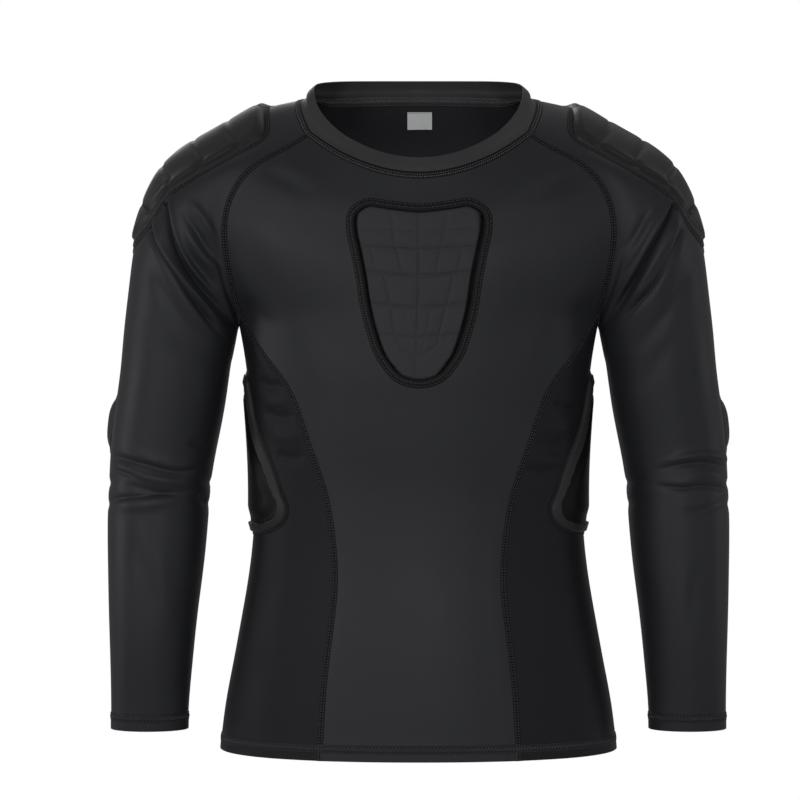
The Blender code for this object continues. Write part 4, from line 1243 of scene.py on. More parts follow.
def on_sleeve(ring, column):
    n = len(rings[0])
    r = min(len(rings) - 2, int(ring))
    c = int(math.floor(column))
    u, w = ring - r, column - c
    a, b = rings[r], rings[r + 1]
    return ((a[c % n] * (1 - w) + a[(c + 1) % n] * w) * (1 - u)
            + (b[c % n] * (1 - w) + b[(c + 1) % n] * w) * u)


CAGE_ARM = Cloth(cage, {"sleeve_left"})
under_pads = []
for share in (0.15, 0.3, 0.45, 0.6, 0.75, 0.88, 1.0):
    for span, ring in outline_points([(span, ring) for ring, span in SHOULDER], 60).tolist():
        c, r = span * share, SHOULDER_MIDDLE + (ring - SHOULDER_MIDDLE) * share
        q = CAGE_ARM.near(on_sleeve(r, len(rings[0]) / 2 - c))[0]
        under_pads += [(q.x, q.y, q.z), (-q.x, q.y, q.z)]
pad_tree = KDTree(len(under_pads))
for k, v in enumerate(under_pads):
    pad_tree.insert(v, k)
pad_tree.balance()


def seam_calm(P, least=0.5, far=7.0):
    d = np.array([seam_tree.find(p)[2] for p in P.tolist()])
    e = np.array([pad_tree.find(p)[2] for p in P.tolist()])
    return smoothstep(least, far, d) * smoothstep(2.5, 7.0, e)


def piece_flags(names, count):
    f = np.zeros((count, len(PIECES)), dtype=bool)
    for n in names:
        f[:, PIECES.index(n)] = True
    return f


H0 = fold_field(V0, N0, on_piece, FOLDS)
busy = np.nonzero(np.abs(H0) > 1e-4)[0]
calm = np.ones(len(V0))
calm[busy] = seam_calm(V0[busy])
V1 = V0 + N0 * (H0 * calm)[:, None]
N1 = point_normals(V1, Q)
SKIN = Skin(V1, Q, N1)


def piece_skin(*names):
    keep = np.isin(quad_piece, [PIECES.index(n) for n in names])
    return Skin(V1, Q[keep], N1)


# ---- the window's outline, shared by the front panel, the pad and the rim
WINDOW_EDGE = outline(WINDOW, 240)
if sum(a.x * b.y - b.x * a.y for a, b in zip(WINDOW_EDGE, WINDOW_EDGE[1:] + WINDOW_EDGE[:1])) > 0:
    WINDOW_EDGE.reverse()
WINDOW_2D = np.array([(p.x, p.y) for p in WINDOW_EDGE])


def to_window(P2):
    """Distance out of the window's outline, negative inside, and the way out."""
    loop = np.concatenate([WINDOW_2D, WINDOW_2D[:1]])
    _, s, d = measure(P2, loop)
    return -s if window_turn > 0 else s


window_turn = 1
probe = np.array([WINDOW_MIDDLE])
_, s_probe, _ = measure(probe, np.concatenate([WINDOW_2D, WINDOW_2D[:1]]))
window_turn = 1 if s_probe[0] > 0 else -1


def refine(P, N, faces, outer, marked):
    """Marked four-sided faces become four; neighbours take the new edge points."""
    n0 = len(P)
    split = {}
    pairs = []
    for k, f in enumerate(faces):
        if marked[k]:
            for a, b in zip(f, f[1:] + f[:1]):
                key = (a, b) if a < b else (b, a)
                if key not in split:
                    split[key] = n0 + len(pairs)
                    pairs.append(key)
    if not pairs:
        return P, N, faces, outer
    pr = np.array(pairs)
    pa, pb, na, nb = P[pr[:, 0]], P[pr[:, 1]], N[pr[:, 0]], N[pr[:, 1]]
    d = pb - pa
    mid = (pa + pb) / 2 + (nb * (d * nb).sum(1)[:, None] - na * (d * na).sum(1)[:, None]) / 8
    midn = unit(na + nb)
    P2 = np.concatenate([P, mid])
    N2 = np.concatenate([N, midn])
    out, out_outer = [], []
    cen, cenn = [], []
    base = len(P2)
    for k, f in enumerate(faces):
        if marked[k]:
            m = [split[(a, b) if a < b else (b, a)] for a, b in zip(f, f[1:] + f[:1])]
            c = base + len(cen)
            cen.append(P2[m].sum(0) / 2 - P2[list(f)].sum(0) / 4)
            cenn.append(N2[m].sum(0))
            for q in range(4):
                out.append((f[q], m[q], c, m[q - 1]))
                out_outer.append(outer[k])
        else:
            g = []
            for a, b in zip(f, f[1:] + f[:1]):
                g.append(a)
                key = (a, b) if a < b else (b, a)
                if key in split:
                    g.append(split[key])
            out.append(tuple(g))
            out_outer.append(outer[k])
    P2 = np.concatenate([P2, np.array(cen)])
    N2 = np.concatenate([N2, unit(np.array(cenn))])
    return P2, N2, out, out_outer


def fold_near(P, N, name, reach, widest=99.0, sharp_only=False):
    """True where a fold of this piece is near."""
    hit = np.zeros(len(P), dtype=bool)
    cache = {}
    for pieces, view, shape, height, w0, w1, head, tail, path in FOLDS:
        if name not in pieces or min(w0, w1) > widest:
            continue
        if sharp_only and not shape.startswith("crease"):
            continue
        if view not in cache:
            cache[view] = view_of(view, P, N)
        P2, facing = cache[view]
        line = smooth_path(path)
        w = max(w0, w1)
        lo, hi = line.min(0) - reach * w, line.max(0) + reach * w
        idx = np.nonzero(((P2 > lo) & (P2 < hi)).all(1) & (facing > 0.03))[0]
        if len(idx):
            _, _, d = measure(P2[idx], line)
            hit[idx[d < reach * w + 1.0]] = True
    return hit


def cloth_piece(name, material, flat=None, area=None, held="stretched"):
    """One piece of cloth as a closed shell with its folds."""
    mine = quad_piece == PIECES.index(name)
    quads = Q[mine]
    P_all = V0.copy()
    if name == "front_panel":
        mid2 = V0[quads].mean(1)
        front_side = mid2[:, 1] < 0
        out = to_window(mid2[:, [0, 2]])
        quads = quads[~((out < 1.0) & front_side)]
    used, local = np.unique(quads, return_inverse=True)
    q = local.reshape(quads.shape)
    P, M = P_all[used], N0[used].copy()
    n = len(used)
    e = np.concatenate([q[:, [0, 1]], q[:, [1, 2]], q[:, [2, 3]], q[:, [3, 0]]])
    key = np.sort(e, axis=1)
    c = key[:, 0].astype(np.int64) * n + key[:, 1]
    _, first, count = np.unique(c, return_index=True, return_counts=True)
    rim = e[first[count == 1]]
    face_of = np.tile(np.arange(len(q)), 4)[first[count == 1]]
    on_rim = np.zeros(n, dtype=bool)
    on_rim[rim.ravel()] = True
    if name == "front_panel":
        near_window = on_rim & (P[:, 1] < 0) & (np.abs(to_window(P[:, [0, 2]])) < 6.0) \
            & (np.abs(P[:, 0]) < 62) & (P[:, 2] < -92) & (P[:, 2] > -255)
        for k in np.nonzero(near_window)[0]:
            d = WINDOW_2D - P[k, [0, 2]]
            j = int((d ** 2).sum(1).argmin())
            tangent = WINDOW_2D[(j + 1) % 240] - WINDOW_2D[j - 1]
            way = np.array([-tangent[1], tangent[0]]) / np.linalg.norm(tangent)
            if to_window((WINDOW_2D[j] + way)[None, :])[0] < 0:
                way = -way
            goal = WINDOW_2D[j] + way * 1.2
            loc, _ = SKIN_BASE.ahead(np.array([[goal[0], -200.0, goal[1]]]), (0, 1, 0))
            P[k] = loc[0]
    mid = P[q].mean(1)[face_of]
    a, b = P[rim[:, 0]], P[rim[:, 1]]
    edge = unit(b - a)
    way = mid - a
    way -= edge * (way * edge).sum(1)[:, None]
    way = unit(way)
    inward = np.zeros_like(P)
    np.add.at(inward, rim[:, 0], way)
    np.add.at(inward, rim[:, 1], way)
    inward = unit(inward)
    round_ = 0.35
    P[on_rim] += inward[on_rim] * (0.04 + round_)
    inner = P - M * WALL_LOOK
    rid = np.nonzero(on_rim)[0]
    mid_of = {int(v): 2 * n + k for k, v in enumerate(rid)}
    middle = P[rid] - M[rid] * WALL_LOOK * 0.5 - inward[rid] * round_
    allP = np.concatenate([P, inner, middle])
    allN = np.concatenate([M, M, M[rid]])
    faces = [tuple(f) for f in q.tolist()] + [tuple(f) for f in (q[:, ::-1] + n).tolist()]
    outer = [True] * len(q) + [False] * len(q)
    for i, j in rim.tolist():
        mi, mj = mid_of[i], mid_of[j]
        faces.append((j, i, mi, mj))
        faces.append((mj, mi, i + n, j + n))
        outer += [False, False]
    is_inner = np.zeros(len(allP), dtype=bool)
    is_inner[n:2 * n] = True
    for reach, widest, sharp_only in ((1.2, 4.9, False), (0.58, 5.6, True)):
        idx = [k for k in range(len(faces)) if outer[k] and len(faces[k]) == 4]
        fa = np.array([faces[k] for k in idx])
        cen = allP[fa].mean(1)
        nor = unit(allN[fa].sum(1))
        hit = fold_near(cen, nor, name, reach, widest, sharp_only)
        marked = np.zeros(len(faces), dtype=bool)
        marked[np.array(idx)[hit]] = True
        allP, allN, faces, outer = refine(allP, allN, faces, outer, marked)
    H = fold_field(allP, allN, piece_flags([name], len(allP)), FOLDS)
    busy = np.nonzero(np.abs(H) > 1e-4)[0]
    if len(busy):
        H[busy] *= seam_calm(allP[busy])
    H += edge_band(allP, name)
    isin = np.zeros(len(allP), dtype=bool)
    isin[n:2 * n] = True
    H[isin] = np.minimum(H[isin], 0) - 0.35 * (np.abs(H[isin]) > 0.2)
    allP = allP + allN * H[:, None]
    ob = new_mesh(name + "_cloth", allP, faces, material, sharp=55)
    fix_out(ob)
    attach(ob, "root")
    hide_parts(name)
    tri = sum(len(f) - 2 for f in faces)
    print("cloth", name, "tris", tri, "area m2", round(shell_area(ob), 5))
    return ob


def shell_area(ob):
    return sum(p.area for p in ob.data.polygons) / 2


def edge_band(P, name):
    """Turned edges: a slight step where the hem or cuff is doubled."""
    H = np.zeros(len(P))
    if name.startswith("sleeve"):
        low = SLEEVE[-1][1]
        up = P[:, 2] - low
        H += 0.35 * (1 - smoothstep(11.0, 14.0, up)) * smoothstep(-3.0, 2.0, up)
    elif name != "neckband":
        low = TRUNK[-1][0]
        up = P[:, 2] - low
        H += 0.35 * (1 - smoothstep(11.5, 15.0, up)) * smoothstep(-3.0, 2.0, up)
    return H


SKIN_BASE = Skin(V0, Q, N0)
# each piece of cloth as a shell with its folds, in its material
for name in PIECES:
    mat = JERSEY
    # the side panels take the darker jersey: painted shade
    if name.startswith("side"):
        mat = SIDE_JERSEY_PAINTED_SHADE
    if name == "neckband":
        mat = BAND_JERSEY
    cloth_piece(name, mat)

# =====================================================================
# Seams: flatlock bands with two rows of slanted stitches
# =====================================================================
FLATLOCK = [(-3.0, -0.05), (-2.7, 0.10), (-2.2, 0.16), (-1.5, 0.34), (-0.8, 0.28), (-0.3, 0.04),
            (0.3, 0.04), (0.8, 0.28), (1.5, 0.34), (2.2, 0.16), (2.7, 0.10), (3.0, -0.05)]


def keep(ob, material_slot="jersey"):
    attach(ob, "root")
    return ob


def flatlock(name, line, width=0.86, stitch_mat=None):
    closed = line[0] == line[-1]
    P, N = resample(V1[line], N1[line], 2.2, closed)
    P, N = SKIN.near(P)
    band = ribbon("seam_" + name, SKIN, P, N, [(o * width, h) for o, h in FLATLOCK],
                  SEAM_CLOTH_AND_GAP_SHADE, closed)
    keep(band)
    st = Stitches()
    for c in (-1.35, 1.35):
        braid(st, SKIN, P, N, closed, c * width, 0.80 * width, 2.3, 0.95, 0.42, 0.30, 0.55)
    keep(st.make("stitch_" + name, stitch_mat or THREAD))


for name, lines in SEAMS.items():
    if name == "neck":
        continue
    for k, line in enumerate(lines):
        flatlock(name if len(lines) == 1 else f"{name}_{k}", line)


def oriented(line, toward, step=2.0):
    """A path whose side vector points toward a place above or below."""
    closed = line[0] == line[-1]
    P, N = resample(V1[line], N1[line], step, closed)
    P, N = SKIN.near(P)
    T, B = side_of(P, N, closed)
    if (B @ np.array(toward)).mean() < 0:
        P, N = P[::-1], N[::-1]
    return P, N, closed


# ---- neck seam: a sunk join, then two rows on the body side; inside, a tape
for line in SEAMS["neck"]:
    P, N, closed = oriented(line, (0, 0, -1))
    keep(ribbon("seam_neck", SKIN, P, N,
                [(-1.3, -0.02), (-0.9, 0.16), (0.0, 0.04), (0.9, 0.14), (2.4, 0.30),
                 (4.3, 0.20), (4.9, -0.02)], SEAM_CLOTH_AND_GAP_SHADE, closed))
    st = Stitches()
    row(st, SKIN, P, N, closed, 1.2, 2.1, 1.6, 0.75, 0.40, 0.22)
    braid(st, SKIN, P, N, closed, 3.2, 0.8, 1.9, 0.80, 0.40, 0.24, 0.8)
    keep(st.make("stitch_neck", THREAD_LIGHT))
    inside = WALL_LOOK + 0.1
    keep(ribbon("neck_tape", SKIN, P, N,
                [(-2.2, -0.1), (-2.0, 0.35), (0.0, 0.45), (3.0, 0.45), (6.2, 0.42), (6.6, -0.1)],
                BAND_JERSEY, closed, inside))
    st = Stitches()
    zigzag(st, SKIN, P, N, closed, 1.9, 2.1, 2.8, 0.95, 0.50, 0.45, inside)
    row(st, SKIN, P, N, closed, 5.4, 2.4, 1.7, 0.7, 0.36, 0.44, inside)
    row(st, SKIN, P, N, closed, -1.3, 2.4, 1.7, 0.7, 0.36, 0.42, inside)
    keep(st.make("stitch_neck_tape", THREAD_LIGHT))

# ---- hem and cuffs: a zigzag with a straight row on each side
for name in ("hem", "cuff_left", "cuff_right"):
    for k, line in enumerate(EDGES[name]):
        P, N, closed = oriented(line, (0, 0, 1))
        up = 10.0 if name == "hem" else 11.0
        st = Stitches()
        keep(ribbon(f"fold_{name}_{k}", SKIN, P, N,
                    [(up - 3.6, 0.30), (up - 3.2, 0.42), (up, 0.46), (up + 3.2, 0.40), (up + 3.7, -0.02)],
                    HEM_CLOTH, closed))
        zigzag(st, SKIN, P, N, closed, up, 2.0, 2.8, 0.75, 0.42, 0.46)
        row(st, SKIN, P, N, closed, up - 2.6, 2.4, 1.7, 0.75, 0.40, 0.42)
        row(st, SKIN, P, N, closed, up + 2.6, 2.4, 1.7, 0.75, 0.40, 0.40)
        keep(st.make(f"stitch_{name}" + (f"_{k}" if len(EDGES[name]) > 1 else ""), THREAD))


# =====================================================================
# Pads
# =====================================================================
def bump_at(d, width):
    return np.exp(-(d / width) ** 2)


def path_distance(P2, path, n=24):
    """Distance of points in the plane from a smooth open path."""
    line = smooth_path(path, n)
    _, _, d = measure(P2, line)
    return d


def polar(shape, rings_, around, place, under=0.12, edge_under=0.12):
    """Points of a pad: shape(share, k) in its own plane, with the share of each point; place is not used."""
    shares = [0.0] + [((r + 1) / rings_) ** 0.9 for r in range(rings_)]
    flat = [shape(0.0, np.zeros(1))]
    turn = np.arange(around) / around
    for s in shares[1:]:
        flat.append(shape(s, turn))
    flat = np.concatenate(flat)
    share = np.concatenate([[0.0]] + [np.full(around, s) for s in shares[1:]])
    return flat, share


def polar_faces(rings_, around):
    faces = []
    k = np.arange(around)
    m = (k + 1) % around
    for a, b in zip(k.tolist(), m.tolist()):
        faces.append((0, 1 + a, 1 + b))
    for r in range(rings_ - 1):
        o, p = 1 + r * around, 1 + (r + 1) * around
        for a, b in zip(k.tolist(), m.tolist()):
            faces.append((o + a, p + a, p + b, o + b))
    return faces


def pad_mesh(name, low, N, height, rings_, around, material, mirrored=False, sharp=70):
    """A closed pad: underside on the cloth, top at its height."""
    top = low + N * height[:, None]
    faces = polar_faces(rings_, around)
    n = len(low)
    step = 3                                   # coarser underside
    last = 1 + (rings_ - 1) * around
    allP = [top]
    side = [(last + a, last + (a + 1) % around) for a in range(around)]
    # underside: the rim and the middle only, fanned through a few rings
    picks = [r for r in range(rings_) if r % step == step - 1 or r == rings_ - 1]
    under_ids = [0]
    for r in picks:
        under_ids += list(range(1 + r * around, 1 + (r + 1) * around))
    allP.append(low[under_ids])
    P = np.concatenate(allP)
    lowfaces = [tuple(v + n for v in reversed(f)) for f in polar_faces(len(picks), around)]
    faces = list(faces) + lowfaces
    bottom = n + 1 + (len(picks) - 1) * around
    for a in range(around):
        b = (a + 1) % around
        faces.append((last + b, last + a, bottom + a, bottom + b))
    if mirrored:
        P = P * np.array([-1.0, 1.0, 1.0])
        faces = [tuple(reversed(f)) for f in faces]
    ob = new_mesh(name, P, faces, material, sharp=sharp)
    fix_out(ob)
    return ob


# ---- chest pad: quilted cells between stitched grooves.  Paths are x and z.
def on_pad(u, v):
    """A place in the frame, on the chest's plane about 90 mm in front."""
    s = (2100.0 - 92.0) / 2100.0
    x, z = photo(u, v)
    return (EYE[0] + (x - EYE[0]) * s, EYE[2] + (z - EYE[2]) * s)


CHEST_GROOVES = [
    # across, a little lower in the middle
    ([on_pad(352, 226), on_pad(385, 228), on_pad(418, 230), on_pad(452, 228), on_pad(486, 225)], 0.35),
    ([on_pad(355, 243), on_pad(386, 245), on_pad(418, 247), on_pad(450, 245), on_pad(484, 243)], 1.0),
    ([on_pad(359, 271), on_pad(388, 274), on_pad(418, 276), on_pad(448, 274), on_pad(479, 271)], 1.0),
    ([on_pad(364, 303), on_pad(390, 306), on_pad(417, 308), on_pad(444, 306), on_pad(472, 303)], 1.0),
    ([on_pad(372, 334), on_pad(394, 336), on_pad(417, 338), on_pad(440, 336), on_pad(462, 334)], 0.9),
    # down
    ([on_pad(419, 212), on_pad(419, 250), on_pad(418, 300), on_pad(417, 340), on_pad(416, 378)], 0.9),
    ([on_pad(391, 214), on_pad(395, 240), on_pad(400, 262), on_pad(403, 276)], 0.7),
    ([on_pad(447, 214), on_pad(443, 240), on_pad(438, 262), on_pad(436, 276)], 0.7),
    ([on_pad(384, 276), on_pad(387, 292), on_pad(391, 308), on_pad(393, 324), on_pad(397, 340)], 0.8),
    ([on_pad(453, 276), on_pad(450, 292), on_pad(446, 308), on_pad(442, 324), on_pad(438, 341)], 0.8),
    ([on_pad(371, 244), on_pad(374, 262), on_pad(377, 276)], 0.4),
    ([on_pad(462, 244), on_pad(460, 262), on_pad(458, 276)], 0.5),
    # arch at the lower end
    ([on_pad(397, 341), on_pad(404, 351), on_pad(416, 356), on_pad(429, 352), on_pad(439, 343)], 0.7),
    ([on_pad(404, 306), on_pad(408, 330), on_pad(413, 352)], 0.35),
    ([on_pad(431, 306), on_pad(427, 330), on_pad(422, 352)], 0.35),
]
PAD_RINGS, PAD_TURNS = 60, 220
TUCK = 3.8                          # how far the pad runs under the cloth, mm
edge_pts = np.array([(p.x, p.y) for p in moved_outline(ordered_outline(PAD_TURNS), TUCK)])
middle2 = np.array(WINDOW_MIDDLE)


def chest_shape(share, turn):
    if len(turn) == 1:
        return middle2[None, :].copy()
    return middle2 + (edge_pts - middle2) * share


flat, share = polar(chest_shape, PAD_RINGS, PAD_TURNS, None)
base, nrm = SKIN_BASE.ahead(np.stack([flat[:, 0], np.full(len(flat), -200.0), flat[:, 1]], 1), (0, 1, 0))
inside_by = -to_window(flat)
cut = np.full(len(flat), 99.0)
groove = np.zeros(len(flat))
for path, strength in CHEST_GROOVES:
    d = path_distance(flat, path)
    groove = np.maximum(groove, strength * bump_at(d, 0.9))
    cut = np.minimum(cut, d + (1 - strength) * 4.0)
crown = 1 - np.exp(-(cut / 4.2) ** 1.3)
along_edge = np.roll(edge_pts, -1, 0) - np.roll(edge_pts, 1, 0)
faces_side = -along_edge[:, 1] / np.linalg.norm(along_edge, axis=1)
if (faces_side * (edge_pts[:, 0] - middle2[0])).sum() < 0:
    faces_side = -faces_side
nearest = ((flat[:, None, :] - edge_pts[None, :, :]) ** 2).sum(2).argmin(1)
flank = np.abs(faces_side[nearest]) ** 2.2 * np.where(faces_side[nearest] > 0, 1.45, 0.95)   # deeper down the sides
edge_dip = 1 - smoothstep(0.6 + 1.9 * flank, 1.5 + 2.2 * flank, inside_by)
rise = 0.9 + 0.55 * crown - 0.70 * groove - (2.7 + 2.2 * flank) * edge_dip
CHEST_LOW = 6.2
normal = np.array([0.0, -1.0, 0.0])
low = base - normal * CHEST_LOW
chest = pad_mesh("chest_pad_quilted", low, np.repeat(normal[None, :], len(low), 0),
                 CHEST_LOW + rise, PAD_RINGS, PAD_TURNS, CHEST_COVER, sharp=80)
# painted shade: the pad's faces in the gap just inside the rim take the black seam cloth, standing in for the
# shadow in that gap
chest.data.materials.append(SEAM_CLOTH_AND_GAP_SHADE)
painted_gap_shade = inside_by < 1.2 + 1.9 * flank
for poly in chest.data.polygons:
    if all(v < len(painted_gap_shade) and painted_gap_shade[v] for v in poly.vertices):
        poly.material_index = 1
keep(chest, "pad_cover")
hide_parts("chest_pad")

# ---- rim of the window: a bound edge with two rows of stitches
loop2 = np.concatenate([WINDOW_2D, WINDOW_2D[:1]])
across = [(-0.9, -0.6), (-0.95, 0.5), (-0.5, 1.05), (0.4, 1.25), (2.6, 1.2), (4.6, 0.8), (5.6, 0.4), (6.1, -0.2)]
tangent = np.roll(WINDOW_2D, -1, 0) - np.roll(WINDOW_2D, 1, 0)
out_way = unit(np.stack([-tangent[:, 1], tangent[:, 0]], 1))
if to_window((WINDOW_2D + out_way)[:1])[0] < 0:
    out_way = -out_way
rows_ = []
for off, high in across:
    p2 = WINDOW_2D + out_way * off
    loc, nn = SKIN_BASE.ahead(np.stack([p2[:, 0], np.full(240, -200.0), p2[:, 1]], 1), (0, 1, 0))
    rows_.append(loc + nn * (high + 0.25))
k = np.arange(240)
j = (k + 1) % 240
faces = []
for r in range(len(rows_)):
    s = (r + 1) % len(rows_)
    faces.append(np.stack([r * 240 + k, r * 240 + j, s * 240 + j, s * 240 + k], 1))
rim_ob = new_mesh("chest_rim_band", np.concatenate(rows_), np.concatenate(faces), SEAM_CLOTH_AND_GAP_SHADE, sharp=75)
fix_out(rim_ob)
keep(rim_ob)
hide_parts("chest_pad_rim")
mid_path = WINDOW_2D + out_way * 2.9
loc, nn = SKIN_BASE.ahead(np.stack([mid_path[:, 0], np.full(240, -200.0), mid_path[:, 1]], 1), (0, 1, 0))
RIM_PATH = np.concatenate([loc, loc[:1]])
RIM_N = np.concatenate([nn, nn[:1]])
st = Stitches()
T_, B_ = side_of(RIM_PATH, RIM_N, True)
flip = 1.0 if (B_[:-1, [0, 2]] * out_way).sum(1).mean() > 0 else -1.0
braid(st, SKIN_BASE, RIM_PATH, RIM_N, True, -0.9 * flip, 0.85, 2.1, 0.85, 0.36, 1.46, 0.5)
braid(st, SKIN_BASE, RIM_PATH, RIM_N, True, 1.7 * flip, 0.85, 2.1, 0.85, 0.36, 1.26, -0.5)
keep(st.make("stitch_rim", THREAD))


# ---- pads on the sleeves and the side panels, made on the wearer's left
CAGE_TRUNK = Cloth(cage, {"side_panel_left", "front_panel", "back_panel"})


def place_left(points, right):
    """Points of the wearer's left, laid on the fine surface of either side."""
    P = np.array([tuple(p) for p in points])
    if right:
        P = P * np.array([-1.0, 1.0, 1.0])
    return SKIN.near(P)


def edge_mm(low, around, rings_):
    """Rough distance in mm of each point from the pad's edge."""
    grid = low[1:].reshape(rings_, around, 3)
    step = np.linalg.norm(np.diff(grid, axis=0), axis=2)
    back = np.cumsum(step[::-1], axis=0)[::-1]
    dist = np.concatenate([back, np.zeros((1, around))])
    first = dist[0].max() + np.linalg.norm(grid[0] - low[0], axis=1).mean()
    return np.concatenate([[first], dist.ravel()])


# shoulder pad: a stitched flange round a raised core of cells
S_RINGS, S_TURNS = 34, 150
s_outline = outline_points([(span, ring) for ring, span in SHOULDER], S_TURNS)
COL_MM, RING_MM = 15.0, 30.0        # about how long a column and a ring are


def shoulder_flat(share):
    ring = SHOULDER_MIDDLE + (s_outline[:, 1] - SHOULDER_MIDDLE) * share
    return np.stack([s_outline[:, 0] * share, ring], 1)


s_shares = [0.0] + [(r + 1) / S_RINGS for r in range(S_RINGS)]
s_flat = np.concatenate([[[0.0, SHOULDER_MIDDLE]]] + [shoulder_flat(s) for s in s_shares[1:]])
s_mm = s_flat * np.array([COL_MM, RING_MM])
# grooves of the core: columns from the top line (front is +), rings from the neck
SHOULDER_GROOVES = [
    ([(-2.0, 1.55), (-0.6, 1.62), (0.8, 1.62), (2.0, 1.52)], 1.0),
    ([(-2.7, 2.28), (-0.9, 2.36), (0.9, 2.36), (2.8, 2.26)], 1.0),
    ([(-3.0, 3.06), (-1.0, 3.14), (1.0, 3.14), (3.0, 3.05)], 1.0),
    ([(-2.7, 3.92), (-1.0, 4.02), (1.0, 4.02), (2.6, 3.9)], 0.9),
    ([(-0.05, 0.9), (-0.1, 1.8), (0.1, 2.8), (0.0, 3.8), (0.0, 4.9)], 0.8),
]
for side, right in (("left", False), ("right", True)):
    pts = [CAGE_ARM.near(on_sleeve(r, len(rings[0]) / 2 - c))[0] for c, r in s_flat.tolist()]
    low, nn = place_left(pts, right)
    em = edge_mm(low, S_TURNS, S_RINGS)
    cut = np.full(len(low), 99.0)
    groove = np.zeros(len(low))
    for path, strength in SHOULDER_GROOVES:
        line = [(c * COL_MM, r * RING_MM) for c, r in path]
        d = path_distance(s_mm, line)
        groove = np.maximum(groove, strength * bump_at(d, 1.6))
        cut = np.minimum(cut, d)
    neck_end = smoothstep(0.0, 1.0, (1.6 - s_flat[:, 1]) / 0.6)
    core = smoothstep(6.5, 9.5, em + 4.6 * neck_end)
    flange = 0.5 + 0.9 * smoothstep(0.0, 1.6, em)
    ring_groove = bump_at(em - 7.2, 1.3)
    cell = 1 - np.exp(-(cut / 5.0) ** 1.4)
    facing = 0.40 + 0.60 * np.clip(-nn[:, 1] * 1.6, 0, 1)      # shallower over the top
    height = (flange - 0.45 * ring_groove + core * (2.2 + 0.9 * cell * facing - 2.3 * groove * facing)
              + 1.6 * neck_end * smoothstep(0.5, 5.5, em))
    height[-S_TURNS:] = 0.35
    ob = pad_mesh("shoulder_cap_" + side, low + nn * 0.1, nn, height, S_RINGS, S_TURNS, PAD_COVER)
    keep(ob, "pad_cover")
    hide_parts("shoulder_pad_" + side)
    edge_line = low[-S_TURNS:]
    edge_n = nn[-S_TURNS:]
    loopP = np.concatenate([edge_line, edge_line[:1]])
    loopN = np.concatenate([edge_n, edge_n[:1]])
    P, N = resample(loopP, loopN, 2.0, True)
    T, B = side_of(P, N, True)
    outwards = P - low[0]
    sign = 1.0 if (B * outwards).sum(1).mean() > 0 else -1.0
    keep(ribbon("flange_seam_" + side, SKIN, P, N,
                [(sign * o, h) for o, h in ((-0.6, 0.0), (-0.3, 0.45), (0.6, 0.35), (1.6, 0.32),
                                            (2.8, 0.30), (4.2, 0.22), (4.8, -0.05))], SEAM_CLOTH_AND_GAP_SHADE, True))
    st = Stitches()
    braid(st, SKIN, P, N, True, sign * 1.5, 0.7, 1.8, 0.8, 0.4, 0.34, 0.75)
    braid(st, SKIN, P, N, True, sign * 3.4, 0.7, 1.8, 0.8, 0.4, 0.28, 0.75)
    keep(st.make("stitch_flange_" + side, THREAD))

# elbow pad: a soft oval dome with a narrow stitched edge
E_RINGS, E_TURNS = 22, 110
sleeve_rows = [(r[1], r[0], r[2], r[4], r[5]) for r in SLEEVE[7:]]


def elbow_place(share, k):
    a = 2 * math.pi * k / E_TURNS
    c, d = math.cos(a), math.sin(a)
    c = math.copysign(abs(c) ** 0.85, c)
    d = math.copysign(abs(d) ** 0.85, d)
    z = ELBOW_Z + ELBOW_HALF_TALL * share * d
    _, out, inn, depth, cy = table_at(sleeve_rows, z)
    g = math.radians(ELBOW_TURN + ELBOW_HALF_WIDE * share * c)
    return V((out + inn) / 2 + (out - inn) / 2 * math.cos(g), cy + depth * math.sin(g), z)


e_shares = [0.0] + [(r + 1) / E_RINGS for r in range(E_RINGS)]
e_pts = [elbow_place(0.0, 0)] + [elbow_place(s, k) for s in e_shares[1:] for k in range(E_TURNS)]
for side, right in (("left", False), ("right", True)):
    low, nn = place_left(e_pts, right)
    em = edge_mm(low, E_TURNS, E_RINGS)
    dome = smoothstep(3.5, 16.0, em)
    height = 0.4 + 0.9 * smoothstep(0, 1.5, em) - 0.5 * bump_at(em - 4.6, 1.2) + 6.4 * dome
    height[-E_TURNS:] = 0.3
    ob = pad_mesh("elbow_cap_" + side, low + nn * 0.1, nn, height, E_RINGS, E_TURNS, PAD_COVER)
    keep(ob, "pad_cover")
    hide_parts("elbow_pad_" + side)
    st = Stitches()
    P, N = resample(np.concatenate([low[-E_TURNS:], low[-E_TURNS:][:1]]),
                    np.concatenate([nn[-E_TURNS:], nn[-E_TURNS:][:1]]), 2.0, True)
    T, B = side_of(P, N, True)
    sign = 1.0 if (B * (P - low[0])).sum(1).mean() > 0 else -1.0
    row(st, SKIN, P, N, True, -sign * 2.3, 2.6, 1.8, 0.55, 0.3, 1.25)
    keep(st.make("stitch_elbow_" + side, THREAD))

# rib pad: a bevelled border strip round a flatter face, with one ridge down it
R_RINGS, R_TURNS = 60, 150
r_outline = outline_points(RIB, R_TURNS)


def rib_place(share, e):
    t = math.radians(e[0] * share)
    z = RIB_MIDDLE + (e[1] - RIB_MIDDLE) * share
    _, a, fr, bk, _ = table_at(TRUNK, z)
    x = a * math.cos(t) ** (2 / ROUND)
    y = abs(math.sin(t)) ** (2 / ROUND) * (-fr if t > 0 else bk)
    return V(x, y, z)


